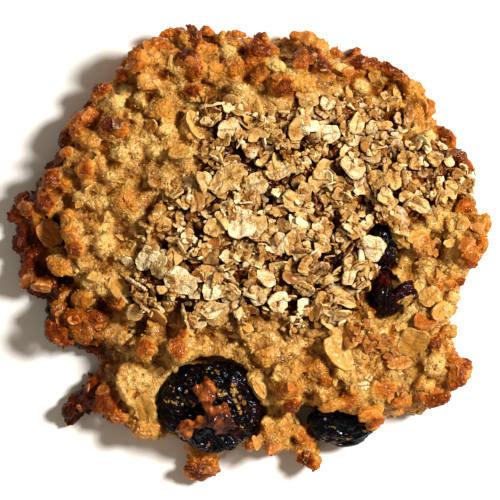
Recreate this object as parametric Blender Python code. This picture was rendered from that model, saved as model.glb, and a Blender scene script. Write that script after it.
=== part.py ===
"""Oatmeal raisin cookie: a craggy baked mound with rolled oats on top and four raisins in it.

The form is worked out in millimetres, with the origin in the middle of the flat underside,
+X to the right and +Y to the back, and each mesh is scaled to metres when it is made.
"""

import math
import random
from collections import namedtuple

import bmesh
import bpy
from mathutils import Euler, Matrix, Vector, noise

MM = 0.001

# Dough. The widest line of every lobe lies a little above the tray, so the lower edge is rounded.
WIDEST_Z = 2.2
BELOW_WIDEST = 5.0
SHOULDER = 3.3
REMESH_VOXEL = 0.75
REMESH_SMOOTHING = 3
DOUGH_TRIANGLES = 6000
COOKIE_TRIANGLES = 11000
ROUGHNESS = 0.9
ROUGHNESS_GRAIN = 5.5
TRAY_HALF = 70
TRAY_DEPTH = 20

# One row for each lobe that the dough slumped into: place, half sizes, turn in degrees,
# height of its top, and how square its outline is (2 is an ellipse, under 2 comes to points).
Lobe = namedtuple("Lobe", "x y half_x half_y turn top square")
LOBES = {
    "crown": Lobe(1.4, 9.0, 41.4, 34.0, -9, 16.5, 2.1),
    "oat_heap": Lobe(9.5, 6.0, 35.0, 19.5, 22, 18.6, 2.0),
    "back_left_shoulder": Lobe(-17.4, 34.6, 7.9, 8.5, 30, 14.5, 2.0),
    "front_band": Lobe(8.6, -13.8, 34.0, 15.5, 0, 14.0, 2.2),
    "left_tier": Lobe(-30.7, -13.6, 10.8, 7.5, -14, 10.0, 2.2),
    "front_left_flank": Lobe(-17.8, -27.0, 12.6, 11.0, -35, 10.5, 2.1),
    "left_shoulder": Lobe(-37.2, 13.6, 4.8, 7.6, -22, 10.5, 2.0),
    "left_skirt_back": Lobe(-43.0, 7.0, 4.4, 5.0, 0, 7.0, 2.0),
    "left_skirt_front": Lobe(-40.2, -2.8, 6.3, 7.4, -20, 6.4, 2.0),
    "left_tongue": Lobe(-26.6, -27.2, 11.3, 5.2, 26, 4.4, 1.25),
    "front_ledge": Lobe(-7.0, -34.6, 9.4, 6.8, 0, 7.5, 2.2),
    "front_chunk": Lobe(-8.6, -41.9, 4.4, 4.9, 20, 5.0, 1.5),
    "front_lobe": Lobe(4.2, -34.6, 6.0, 6.2, 0, 9.5, 2.0),
    "front_bridge": Lobe(5.4, -27.0, 6.4, 7.0, 0, 12.5, 2.0),
    "front_spike": Lobe(11.3, -38.8, 5.3, 3.3, -58, 5.0, 1.4),
    "raisin_roof": Lobe(20.8, -28.4, 10.4, 6.6, 0, 13.4, 2.0),
    "front_right_band": Lobe(29.8, -26.4, 9.1, 7.4, -8, 11.5, 2.0),
    "front_right_lobe": Lobe(37.2, -24.0, 7.5, 6.8, 30, 10.5, 2.1),
    "right_lower_flank": Lobe(32.6, -11.6, 7.6, 10.4, 0, 12.5, 2.2),
    "right_flank": Lobe(41.0, 2.0, 6.7, 8.9, 0, 12.0, 2.0),
    "right_knob_back": Lobe(38.8, 21.2, 3.4, 3.2, 0, 8.5, 2.0),
    "right_knob_front": Lobe(40.9, 17.2, 3.6, 3.2, 0, 7.5, 2.0),
    "back_left_knob": Lobe(-28.4, 30.4, 3.4, 3.4, 0, 9.5, 2.0),
}
FORM_BLEND = 2.4

# Crags that stand out by themselves: place, radius, rise over the dough, stretch, turn.
Crag = namedtuple("Crag", "x y radius rise stretch turn")
NAMED_CRAGS = (
    Crag(-11.2, 42.8, 2.0, 0.5, 2.1, 100),
    Crag(-10.4, 37.6, 3.6, 3.0, 1.2, 80),
    Crag(7.4, 33.6, 4.0, 2.6, 1.2, 20),
    Crag(12.4, 39.2, 3.4, 3.0, 1.5, 0),
    Crag(-15.2, 42.0, 2.2, 0.0, 1.3, 20),
    Crag(-6.6, 42.2, 2.3, 0.5, 1.2, 0),
    Crag(24.6, 36.6, 2.2, 0.0, 1.3, -20),
    Crag(10.6, 41.4, 2.4, 0.0, 1.5, 0),
    Crag(41.0, -8.8, 2.0, 0.0, 1.2, 80),
    Crag(33.8, 30.8, 2.0, 0.0, 1.2, 0),
    Crag(21.0, 39.6, 1.9, -1.5, 1.3, 60),
    Crag(-26.0, 24.8, 3.0, 2.2, 1.2, 0),
    Crag(-31.6, 16.0, 3.0, 2.2, 1.4, 60),
    Crag(-34.6, 4.8, 3.6, 2.4, 1.3, -70),
    Crag(-32.8, -0.8, 4.4, 2.6, 1.5, -50),
    Crag(-37.4, 21.4, 1.4, 0.0, 1.1, 0),
    Crag(-19.6, -18.6, 3.8, 3.4, 1.2, 40),
    Crag(-12.2, -19.2, 3.2, 3.8, 1.9, 72),
    Crag(-26.4, -9.6, 2.8, 2.2, 1.9, -25),
    Crag(7.6, -26.4, 4.0, 2.6, 1.2, 0),
    Crag(23.6, -33.6, 3.2, -1.0, 1.4, 10),
    Crag(18.4, -23.8, 3.4, 2.0, 1.2, 0),
    Crag(28.2, 33.2, 3.4, 3.0, 1.6, -30),
    Crag(36.0, 24.8, 2.9, 2.0, 1.9, -62),
    Crag(36.8, 6.0, 3.6, 2.6, 1.2, 0),
    Crag(39.8, -4.4, 3.0, 1.6, 1.3, 40),
    Crag(39.4, -29.0, 2.1, 0.0, 1.3, 30),
    Crag(-26.8, -33.4, 2.1, 0.0, 1.4, -20),
    Crag(-18.8, -36.6, 2.2, 0.0, 1.5, -20),
)
NAMED_CRAG_SINK = 0.7
LOWEST_CRAG_TOP = 3.0

# Crags that are spread by rule: how many, their radii, how far they sink in as shares of the
# radius, and their proportions. Those of the rim lie this far in from it.
Spread = namedtuple("Spread", "count radius sink proportions")
RIM_CRAGS = Spread(58, (1.7, 3.3), (0.1, 0.6), (1.25, 1, 0.85))
RIM_CRAG_INSET = (0.5, 8.5)
RIM_CRAG_SHIFT = 0.35
LOWEST_RIM_TOP = 2.5
FIELD_CRAGS = Spread(70, (1.5, 2.7), (0.2, 0.6), (1.3, 1, 0.8))
FIELD_RADIUS = 40
FIELD_MIDDLE = (1, 2)
LOWEST_FIELD_TOP = 4
CRAG_SEED = 11

# Rolled oats. The heap's outline is three ellipses: place, half sizes, turn in degrees.
OAT_PATCHES = ((9.6, 6.4, 34.5, 19.5, 22), (-2.2, 21.6, 9.0, 8.0, 0), (12.6, -9.4, 13.5, 7.5, 0))
OAT_FIELD = ((-28, 46), (-18, 32))
OAT_TRIES = 4000
OAT_SPACING = 3.5
OAT_LENGTH = (4.6, 6.8)
OAT_HALF_WIDTH = 0.34
OAT_THICKNESS = 0.95
OAT_SIDES = 8
OAT_UNEVEN = 0.14
OAT_BEVEL = 0.86
OAT_TILT = 20
LOOSE_OAT_TILT = 8
OAT_LIFT = 1.0
OAT_SEED = 23
LOOSE_OATS = ((19.6, -17.8, 6.6, 60), (35.6, -18.4, 6.2, 20), (28.6, -17.6, 5.0, -40),
              (-31.0, 3.2, 6.4, -50), (-16.6, 12.4, 5.6, 0), (-12.4, -15.8, 6.0, 80),
              (-17.0, -31.6, 5.4, 70), (34.6, -8.4, 5.6, 10), (-9.6, 13.6, 5.4, 70))

# Raisins: place, half sizes, tilt about X and Y and turn about Z in degrees, wrinkle size,
# how deep the notch in its back end is and how much its front end narrows (as shares of half_y
# and half_x), triangles.
Raisin = namedtuple("Raisin", "x y z half_x half_y half_z tilt_x tilt_y turn wrinkle notch taper triangles")
RAISINS = {
    "raisin_front": Raisin(-7.2, -31.0, 9.4, 10.6, 9.7, 5.4, 14, 4, -12, 3.2, 0.0, 0.0, 1000),
    "raisin_edge": Raisin(19.2, -34.0, 5.2, 7.8, 5.4, 4.6, 10, 0, 6, 3.0, 0.0, 0.0, 420),
    "raisin_right": Raisin(29.0, -8.5, 13.6, 4.9, 5.0, 3.4, 8, -8, -18, 2.4, 0.75, 0.5, 380),
    "raisin_inner": Raisin(27.0, 1.4, 14.8, 3.1, 4.3, 3.0, 0, 10, 22, 2.2, 0.0, 0.0, 300),
}
NOTCH_WIDTH = 0.6
CLEARANCE = 0.35
SOCKET_MARGIN = 0.25
SCRAP_MARGIN = 0.15

# Skin of a raisin: it folds in where a noise is under a level, by so much for each step below it.
Crease = namedtuple("Crease", "spacing level steepness")
WRINKLES = Crease(1.0, 0.35, 1.5)
FOLDS = Crease(2.4, 0.25, 2.2)
CREASE_DEPTH = 0.42

# The scrap of dough that baked onto the front raisin: lumps that meet (place, radius, stretch, turn).
SCRAP_LUMPS = ((-8.2, -28.0, 2.2, 1.5, 100), (-5.8, -32.4, 3.5, 1.15, 30), (-9.4, -33.8, 1.5, 1.3, 20),
               (-11.8, -34.8, 2.1, 1.25, 60))
SCRAP_HALF_HEIGHT = 2.3
SCRAP_SINK = 1.0
SCRAP_ROUGHNESS = 0.22
SCRAP_VOXEL = 0.4
SCRAP_SMOOTHING = 2
SCRAP_TRIANGLES = 260


def clear_scene():
    for old in list(bpy.data.objects):
        bpy.data.objects.remove(old)


def principled(name, colour, roughness):
    made = bpy.data.materials.new(name)
    made.use_nodes = True
    shader = made.node_tree.nodes["Principled BSDF"]
    shader.inputs["Base Color"].default_value = (*colour, 1)
    shader.inputs["Roughness"].default_value = roughness
    shader.inputs["Metallic"].default_value = 0
    made.diffuse_color = (*colour, 1)
    return made


def mesh_object(name, points, faces, collection=None):
    """An object made of points in millimetres."""
    mesh = bpy.data.meshes.new(name)
    mesh.from_pydata([Vector(p) * MM for p in points], [], faces)
    made = bpy.data.objects.new(name, mesh)
    (collection or bpy.context.scene.collection).objects.link(made)
    return made


def lobe_level(lobe, x, y):
    """How far (x, y) is from a lobe's middle, where 1 is its outline."""
    turn = math.radians(lobe.turn)
    along = (x - lobe.x) * math.cos(turn) + (y - lobe.y) * math.sin(turn)
    across = (y - lobe.y) * math.cos(turn) - (x - lobe.x) * math.sin(turn)
    return (abs(along / lobe.half_x) ** lobe.square + abs(across / lobe.half_y) ** lobe.square) ** (
        1 / lobe.square)


def lobe_top(lobe, x, y):
    """Height of a lobe over (x, y), falling away below zero outside it."""
    level = lobe_level(lobe, x, y)
    if level >= 1:
        return -10 * (level - 1)
    return WIDEST_Z + (lobe.top - WIDEST_Z) * math.sqrt(1 - level**SHOULDER)


def dough_top(x, y):
    """Height of the dough over (x, y), with its lobes blended into each other."""
    height = -10.0
    for lobe in LOBES.values():
        other = lobe_top(lobe, x, y)
        overlap = max(FORM_BLEND - abs(height - other), 0)
        height = max(height, other) + overlap**2 / (4 * FORM_BLEND)
    return height


def dough_normal(x, y, step=1.5):
    slope_x = (dough_top(x + step, y) - dough_top(x - step, y)) / (2 * step)
    slope_y = (dough_top(x, y + step) - dough_top(x, y - step)) / (2 * step)
    return Vector((-slope_x, -slope_y, 1)).normalized()


def lobe_mesh(name, lobe, collection, spokes=40, rings=14):
    """A closed flattened dome: steep sides, a broad top and a shallow round below its widest line."""
    points = []
    for ring in range(1, rings):
        latitude = math.pi * (ring / rings - 0.5)
        reach = math.cos(latitude) ** (2 / SHOULDER)
        rise = math.sin(latitude)
        z = WIDEST_Z + (rise * (lobe.top - WIDEST_Z) if rise > 0 else rise * BELOW_WIDEST)
        for spoke in range(spokes):
            around = math.tau * spoke / spokes
            cos, sin = math.cos(around), math.sin(around)
            edge = (abs(cos) ** lobe.square + abs(sin) ** lobe.square) ** (-1 / lobe.square)
            points.append((reach * edge * cos * lobe.half_x, reach * edge * sin * lobe.half_y, z))
    bottom, top = len(points), len(points) + 1
    points += [(0, 0, WIDEST_Z - BELOW_WIDEST), (0, 0, lobe.top)]
    faces = []
    for spoke in range(spokes):
        after = (spoke + 1) % spokes
        faces.append((bottom, after, spoke))
        for ring in range(rings - 2):
            low, high = ring * spokes, (ring + 1) * spokes
            faces.append((low + spoke, low + after, high + after, high + spoke))
        last = (rings - 2) * spokes
        faces.append((last + spoke, last + after, top))
    turned = Matrix.Rotation(math.radians(lobe.turn), 3, "Z")
    middle = Vector((lobe.x, lobe.y, 0))
    return mesh_object(name, [turned @ Vector(p) + middle for p in points], faces, collection)


def lump_mesh(name, middle, radii, turn, collection, jitter=0.16, detail=3):
    """A rough round lump, from an icosphere whose points are pushed in and out by noise."""
    shape = bmesh.new()
    bmesh.ops.create_icosphere(shape, subdivisions=detail, radius=1)
    for vert in shape.verts:
        push = noise.noise(vert.co * 1.7 + Vector(middle) * 0.37)
        vert.co *= 1 + 2 * jitter * push
    place = Matrix.Translation(middle) @ Euler(turn).to_matrix().to_4x4() @ Matrix.Diagonal((*radii, 1))
    bmesh.ops.transform(shape, matrix=Matrix.Diagonal((MM, MM, MM, 1)) @ place, verts=shape.verts)
    mesh = bpy.data.meshes.new(name)
    shape.to_mesh(mesh)
    shape.free()
    made = bpy.data.objects.new(name, mesh)
    collection.objects.link(made)
    return made


def in_oat_patch(x, y, margin=0.0):
    for middle_x, middle_y, half_x, half_y, turn in OAT_PATCHES:
        patch = Lobe(middle_x, middle_y, half_x + margin, half_y + margin, turn, 1, 2)
        if lobe_level(patch, x, y) < 1:
            return True
    return False


def near_raisin(x, y, margin):
    for raisin in RAISINS.values():
        patch = Lobe(raisin.x, raisin.y, raisin.half_x + margin, raisin.half_y + margin, raisin.turn, 1, 2)
        if lobe_level(patch, x, y) < 1:
            return True
    return False


def rim_reach(around):
    """Distance from the middle to the dough's edge in one direction."""
    reach = 52.0
    while dough_top(reach * math.cos(around), reach * math.sin(around)) < WIDEST_Z:
        reach -= 0.25
    return reach


def crags():
    """(place, radii, turn) of every crag: the named ones, a ring on the rim and some in the field."""
    draw = random.Random(CRAG_SEED)
    found = []
    for crag in NAMED_CRAGS:
        top = max(dough_top(crag.x, crag.y), LOWEST_CRAG_TOP) + crag.rise
        place = (crag.x, crag.y, top - crag.radius * NAMED_CRAG_SINK)
        radii = (crag.radius * crag.stretch, crag.radius, crag.radius * 1.05)
        found.append((place, radii, (0, 0, math.radians(crag.turn))))
    for step in range(RIM_CRAGS.count):
        around = math.tau * (step + draw.uniform(-RIM_CRAG_SHIFT, RIM_CRAG_SHIFT)) / RIM_CRAGS.count
        reach = rim_reach(around) - draw.uniform(*RIM_CRAG_INSET)
        x, y = reach * math.cos(around), reach * math.sin(around)
        radius = draw.uniform(*RIM_CRAGS.radius)
        turn = [draw.uniform(0, math.pi) for _ in range(3)]
        if near_raisin(x, y, 1.0):
            continue
        z = max(dough_top(x, y), LOWEST_RIM_TOP) - radius * draw.uniform(*RIM_CRAGS.sink)
        found.append(((x, y, z), [radius * share for share in RIM_CRAGS.proportions], turn))
    for _ in range(FIELD_CRAGS.count):
        reach, around = FIELD_RADIUS * math.sqrt(draw.random()), draw.uniform(0, math.tau)
        x = reach * math.cos(around) + FIELD_MIDDLE[0]
        y = reach * math.sin(around) + FIELD_MIDDLE[1]
        radius = draw.uniform(*FIELD_CRAGS.radius)
        turn = [draw.uniform(0, math.pi) for _ in range(3)]
        if near_raisin(x, y, 0.5) or in_oat_patch(x, y, -4) or dough_top(x, y) < LOWEST_FIELD_TOP:
            continue
        z = dough_top(x, y) - radius * draw.uniform(*FIELD_CRAGS.sink)
        found.append(((x, y, z), [radius * share for share in FIELD_CRAGS.proportions], turn))
    return found


def oat_places():
    """(x, y, length, turn in degrees, tilt about X, tilt about Y) of each fused oat flake."""
    draw = random.Random(OAT_SEED)
    found = []
    for _ in range(OAT_TRIES):
        x, y = (draw.uniform(*side) for side in OAT_FIELD)
        length, turn = draw.uniform(*OAT_LENGTH), draw.uniform(0, 360)
        tilt_x, tilt_y = draw.gauss(0, OAT_TILT), draw.gauss(0, OAT_TILT)
        if not in_oat_patch(x, y) or near_raisin(x, y, 1.6):
            continue
        if any(math.hypot(x - other[0], y - other[1]) < OAT_SPACING for other in found):
            continue
        found.append((x, y, length, turn, tilt_x, tilt_y))
    for x, y, length, turn in LOOSE_OATS:
        found.append((x, y, length, turn, draw.gauss(0, LOOSE_OAT_TILT), draw.gauss(0, LOOSE_OAT_TILT)))
    return found


def oat_mesh(name, place, lift, collection):
    """A rolled oat: a thin oval disc, dished a little, that lies on the dough."""
    x, y, length, turn, tilt_x, tilt_y = place
    half_long, half_wide, half_thick = length / 2, length * OAT_HALF_WIDTH, OAT_THICKNESS / 2
    rim = []
    for side in range(OAT_SIDES):
        around = math.tau * side / OAT_SIDES
        wave = 1 + OAT_UNEVEN * noise.noise(Vector((x + side * 1.3, y, 0)))
        rim.append((half_long * wave * math.cos(around), half_wide * wave * math.sin(around)))
    lower = [(a, b, -half_thick) for a, b in rim]
    upper = [(a * OAT_BEVEL, b * OAT_BEVEL, half_thick) for a, b in rim]
    middles = [(0, 0, -half_thick), (0, 0, half_thick * 0.45)]
    points = lower + upper + middles
    bottom, top = len(points) - 2, len(points) - 1
    faces = []
    for side in range(OAT_SIDES):
        after = (side + 1) % OAT_SIDES
        faces.append((bottom, after, side))
        faces.append((side, after, OAT_SIDES + after, OAT_SIDES + side))
        faces.append((OAT_SIDES + side, OAT_SIDES + after, top))
    lean = Euler((math.radians(tilt_x), math.radians(tilt_y), 0)).to_matrix()
    facing = dough_normal(x, y).to_track_quat("Z", "Y").to_matrix()
    turned = facing @ lean @ Matrix.Rotation(math.radians(turn), 3, "Z")
    middle = Vector((x, y, dough_top(x, y) + lift))
    return mesh_object(name, [turned @ Vector(p) + middle for p in points], faces, collection)


def crease_depth(crease, spot, shift):
    level = abs(noise.noise(spot / crease.spacing + shift))
    return crease.steepness * max(crease.level - level, 0)


def raisin_mesh(name, raisin, grow, collection):
    """A wrinkled raisin: an icosphere folded in along the valleys of a ridged noise."""
    shape = bmesh.new()
    bmesh.ops.create_icosphere(shape, subdivisions=5, radius=1)
    size = Vector((raisin.half_x, raisin.half_y, raisin.half_z))
    for vert in shape.verts:
        spot = Vector(a * b for a, b in zip(vert.co, size))
        depth = crease_depth(WRINKLES, spot / raisin.wrinkle, Vector((raisin.x, raisin.y, 0)))
        depth += crease_depth(FOLDS, spot / raisin.wrinkle, Vector((0, -raisin.y, -raisin.x)))
        spot.y -= raisin.notch * raisin.half_y * max(vert.co.y, 0) * max(1 - abs(vert.co.x) / NOTCH_WIDTH, 0)
        spot.x *= 1 - raisin.taper * max(-vert.co.y, 0)
        vert.co = spot + vert.co.normalized() * (grow - depth * raisin.wrinkle * CREASE_DEPTH)
    tilt = Euler((math.radians(raisin.tilt_x), math.radians(raisin.tilt_y), math.radians(raisin.turn)))
    place = Matrix.Translation((raisin.x, raisin.y, raisin.z)) @ tilt.to_matrix().to_4x4()
    bmesh.ops.transform(shape, matrix=Matrix.Diagonal((MM, MM, MM, 1)) @ place, verts=shape.verts)
    mesh = bpy.data.meshes.new(name)
    shape.to_mesh(mesh)
    shape.free()
    made = bpy.data.objects.new(name, mesh)
    collection.objects.link(made)
    return made


def apply_modifiers(obj):
    graph = bpy.context.evaluated_depsgraph_get()
    graph.update()
    final = bpy.data.meshes.new_from_object(obj.evaluated_get(graph))
    obj.modifiers.clear()
    obj.data = final


def decimate_to(obj, triangles):
    """Collapses edges until about this many triangles are left."""
    now = sum(len(face.vertices) - 2 for face in obj.data.polygons)
    collapse = obj.modifiers.new("collapse", "DECIMATE")
    collapse.ratio = min(1.0, triangles / now)
    collapse.use_collapse_triangulate = True
    apply_modifiers(obj)


def joined(name, collection):
    """One object that holds the meshes of every object in a collection, which is then removed."""
    whole = bmesh.new()
    for member in list(collection.objects):
        whole.from_mesh(member.data)
        bpy.data.objects.remove(member)
    bpy.data.collections.remove(collection)
    mesh = bpy.data.meshes.new(name)
    whole.to_mesh(mesh)
    whole.free()
    made = bpy.data.objects.new(name, mesh)
    bpy.context.scene.collection.objects.link(made)
    return made


def new_collection(name):
    made = bpy.data.collections.new(name)
    bpy.context.scene.collection.children.link(made)
    return made


def combine(obj, other, operation):
    """A Boolean with one object, or with a collection, that is applied and whose operands go."""
    step = obj.modifiers.new(operation.lower(), "BOOLEAN")
    step.operation = operation
    step.solver = "MANIFOLD"
    if isinstance(other, bpy.types.Collection):
        step.operand_type = "COLLECTION"
        step.collection = other
    else:
        step.object = other
    apply_modifiers(obj)
    if isinstance(other, bpy.types.Collection):
        for member in list(other.objects):
            bpy.data.objects.remove(member)
        bpy.data.collections.remove(other)
    else:
        bpy.data.objects.remove(other)


def remesh(obj, voxel, smoothing):
    """Fuses overlapping meshes into one skin, and eases its steps."""
    skin = obj.modifiers.new("skin", "REMESH")
    skin.mode = "VOXEL"
    skin.voxel_size = voxel * MM
    ease = obj.modifiers.new("ease", "SMOOTH")
    ease.factor = 0.5
    ease.iterations = smoothing
    apply_modifiers(obj)


def keep_outer_skin(obj):
    """Drops sealed hollows and loose scraps: all that isn't joined to the largest skin."""
    shape = bmesh.new()
    shape.from_mesh(obj.data)
    left = set(shape.verts)
    skins = []
    while left:
        skin, edge = set(), [left.pop()]
        while edge:
            vert = edge.pop()
            skin.add(vert)
            for link in vert.link_edges:
                other = link.other_vert(vert)
                if other in left:
                    left.discard(other)
                    edge.append(other)
        skins.append(skin)
    largest = max(skins, key=len)
    bmesh.ops.delete(shape, geom=[v for v in shape.verts if v not in largest], context="VERTS")
    shape.to_mesh(obj.data)
    shape.free()


def box_mesh(name, low, high, collection):
    points = [(x, y, z) for x in (low[0], high[0]) for y in (low[1], high[1]) for z in (low[2], high[2])]
    faces = [(0, 1, 3, 2), (4, 6, 7, 5), (0, 4, 5, 1), (2, 3, 7, 6), (0, 2, 6, 4), (1, 5, 7, 3)]
    return mesh_object(name, points, faces, collection)


def make_dough():
    """The dough's lobes and crags fused into one skin, roughened and thinned to few triangles."""
    parts = new_collection("dough_parts")
    for name, lobe in LOBES.items():
        lobe_mesh(name, lobe, parts)
    for number, (place, radii, turn) in enumerate(crags()):
        lump_mesh(f"crag_{number}", place, radii, turn, parts)
    dough = joined("cookie", parts)
    remesh(dough, REMESH_VOXEL, REMESH_SMOOTHING)
    outward = [vert.normal.copy() for vert in dough.data.vertices]
    for vert, normal in zip(dough.data.vertices, outward):
        spot = vert.co / (MM * ROUGHNESS_GRAIN)
        vert.co += normal * (noise.fractal(spot, 1.0, 2.0, 3) * ROUGHNESS * MM)
    decimate_to(dough, DOUGH_TRIANGLES)
    return dough


def add_oats(dough):
    """The rolled oats that show on top, fused to the dough by one union."""
    oats = new_collection("oats")
    draw = random.Random(OAT_SEED + 1)
    for number, place in enumerate(oat_places()):
        oat_mesh(f"oat_{number}", place, draw.uniform(0, OAT_LIFT), oats)
    combine(dough, oats, "UNION")
    keep_outer_skin(dough)
    decimate_to(dough, COOKIE_TRIANGLES)


def make_raisins(finish):
    made = []
    for name, raisin in RAISINS.items():
        body = raisin_mesh(name, raisin, 0, bpy.context.scene.collection)
        decimate_to(body, raisin.triangles)
        body.data.materials.append(finish)
        made.append(body)
    return made


def cut_sockets(dough):
    """Leaves each raisin a socket that stays clear of it all round."""
    scene = bpy.context.scene.collection
    for name, raisin in RAISINS.items():
        cutter = raisin_mesh(name + "_socket", raisin, CLEARANCE + SOCKET_MARGIN, scene)
        decimate_to(cutter, raisin.triangles // 2)
        combine(dough, cutter, "DIFFERENCE")


def raisin_top(raisin, x, y):
    """Height of a raisin over (x, y), as if it had no wrinkles."""
    bulge = 1 - ((x - raisin.x) / raisin.half_x) ** 2 - ((y - raisin.y) / raisin.half_y) ** 2
    lean = (y - raisin.y) * math.sin(math.radians(raisin.tilt_x)) - (x - raisin.x) * math.sin(
        math.radians(raisin.tilt_y))
    return raisin.z + lean + raisin.half_z * math.sqrt(max(bulge, 0))


def make_scrap():
    """The scrap of dough on the front raisin, hollowed below so that it lies on the wrinkles."""
    parts = new_collection("scrap_parts")
    raisin = RAISINS["raisin_front"]
    for number, (x, y, radius, stretch, turn) in enumerate(SCRAP_LUMPS):
        place = (x, y, raisin_top(raisin, x, y) - SCRAP_SINK)
        radii = (radius * stretch, radius, SCRAP_HALF_HEIGHT)
        lump_mesh(f"lump_{number}", place, radii, (0, 0, math.radians(turn)), parts, SCRAP_ROUGHNESS)
    scrap = joined("dough_scrap", parts)
    remesh(scrap, SCRAP_VOXEL, SCRAP_SMOOTHING)
    decimate_to(scrap, SCRAP_TRIANGLES)
    cutter = raisin_mesh("scrap_cutter", raisin, CLEARANCE + SCRAP_MARGIN, bpy.context.scene.collection)
    decimate_to(cutter, raisin.triangles)
    combine(scrap, cutter, "DIFFERENCE")
    keep_outer_skin(scrap)
    return scrap


def flat_underside(dough):
    """Cuts the cookie flat where it lay on the tray."""
    low, high = (-TRAY_HALF, -TRAY_HALF, -TRAY_DEPTH), (TRAY_HALF, TRAY_HALF, 0)
    tray = box_mesh("tray", low, high, bpy.context.scene.collection)
    combine(dough, tray, "DIFFERENCE")
    keep_outer_skin(dough)


def main():
    clear_scene()
    baked = principled("baked_dough", (0.56, 0.31, 0.09), 0.75)
    dark_skin = principled("raisin_skin", (0.028, 0.012, 0.014), 0.35)
    dough = make_dough()
    add_oats(dough)
    cut_sockets(dough)
    flat_underside(dough)
    dough.data.materials.clear()
    dough.data.materials.append(baked)
    make_raisins(dark_skin)
    scrap = make_scrap()
    scrap.data.materials.clear()
    scrap.data.materials.append(baked)


main()
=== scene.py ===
"""Looks of the oatmeal raisin cookie, built round the fixed solids.

Shapes are worked out in millimetres in the frame of the solids: X to the right, Y to the back and
Z up from the flat underside. They become metres when a mesh is made. All random draws are seeded.
"""
import math
from collections import namedtuple

import bmesh
import bpy
import numpy as np
from mathutils import Euler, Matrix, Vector, noise


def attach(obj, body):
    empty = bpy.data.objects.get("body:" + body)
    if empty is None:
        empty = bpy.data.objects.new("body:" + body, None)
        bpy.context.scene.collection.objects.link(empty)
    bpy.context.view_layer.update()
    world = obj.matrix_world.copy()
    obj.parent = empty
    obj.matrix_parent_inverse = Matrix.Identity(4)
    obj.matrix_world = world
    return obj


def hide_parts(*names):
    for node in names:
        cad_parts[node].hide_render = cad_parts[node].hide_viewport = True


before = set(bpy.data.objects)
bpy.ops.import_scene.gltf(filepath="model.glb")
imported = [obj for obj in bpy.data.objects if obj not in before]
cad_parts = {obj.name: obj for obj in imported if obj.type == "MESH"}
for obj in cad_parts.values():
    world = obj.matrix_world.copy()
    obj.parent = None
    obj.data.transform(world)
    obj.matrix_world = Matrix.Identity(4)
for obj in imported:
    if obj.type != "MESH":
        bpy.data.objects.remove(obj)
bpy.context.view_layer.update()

MM = 0.001
BODY = "root"
NOISE_SEED = 7

# How far noise is shifted at random from lump to lump, so that no two are alike.
SHIFT = 50

# Angles in degrees from which an edge of a piece stays sharp.
GRAIN_SHARP = 30
CRUMB_SHARP = 40
OAT_SHARP = 50
SOAKED_SHARP = 60

# Dough: the voxels of its two fusings, how far its core lies below the solid's skin on the slopes and
# in the heap, how many rounds of easing it gets, and how many triangles it keeps. It is cut flat by a
# cube of the tray's size.
CORE_VOXEL = 0.6
DOUGH_VOXEL = 0.36
CORE_INSET = 1.9
HEAP_INSET = 1.9
HEAP_EASING = 12
DOUGH_EASING = 2
DOUGH_TRIANGLES = 185000
DOUGH_SEED = 5
TRAY_SIZE = 160.0

# Lumps fused onto the core: how many and how far apart, the ranges of their half sizes, how far they
# lean and rise (as a share of their half thickness), and the subdivisions of their balls. They stand at
# random places above the tray, widen into a skirt below, and keep clear of the raisins.
Lumps = namedtuple("Lumps", "count spacing long wide thick tilt rise detail")
COATED_FLAKES = Lumps(700, 2.2, (1.2, 2.4), (0.8, 1.6), (0.35, 0.65), 0.5, 0.5, 3)
KNOBS = Lumps(600, 2.2, (0.8, 1.7), (0.7, 1.4), (0.6, 1.0), 0.4, 0.3, 3)
PEBBLES = Lumps(4000, 0.9, (0.35, 0.8), (0.3, 0.6), (0.25, 0.45), 0.6, 0.3, 2)
LUMP_PLACES = 60000
LOWEST_LUMP = 0.6
LUMP_OVERHANG = -0.75
LUMP_ROUGHNESS = 0.22
LUMP_SKIRT = 0.35
FLAKE_CLEARANCE = 1.0
PEBBLE_CLEARANCE = 0.2

# Small holes between the lumps: the rounds of easing that show them, and the depth from which this
# share of it is filled.
HOLE_EASING = 24
HOLE_START = 0.08
HOLE_FILL = 0.35

# Waves of the dough's skin: length and depth.
RELIEF = ((2.2, 0.1), (0.9, 0.07))

# Rounded clods that the dough breaks into: spacing, how far they stand up, how bent they are, seed, the
# level of their height that stays where it is, and how uneven they are from clod to clod.
Clods = namedtuple("Clods", "spacing depth bend seed level uneven")
CORE_CLODS = (Clods(6.5, 1.4, 0.5, 7, 0.4, 0.5), Clods(3.4, 0.9, 0.45, 8, 0.4, 0.5))
SKIN_CLODS = Clods(1.6, 0.26, 0.4, 3, 0.6, 0.5)
HEAP_CLODS = Clods(5.4, 2.4, 0.5, 21, 0.6, 0.0)
CHANCE_WAY = (12.99, 78.23, 37.72)
CHANCE_SCALE = 43758.5

# Grains that stand on the dough's skin: how many of the random places have one, their radii, and the
# lowest place and the steepest overhang that hold one.
GRAIN_PLACES = 22000
LOWEST_GRAIN = 1.0
GRAIN_OVERHANG = -0.5
SKIN_GRAINS = 4500
SKIN_GRAIN_RADIUS = (0.14, 0.42)
GRAIN_SEED = 11

# Places on the cookie, as ovals: middle, half sizes, turn in degrees, and what the place is worth.
Oval = namedtuple("Oval", "x y long wide turn value", defaults=(0, 0))

# Opening between the dough and the front raisin, kept free of lumps.
RAISIN_GAP = Oval(11.2, -35.0, 1.9, 3.4)

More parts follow.
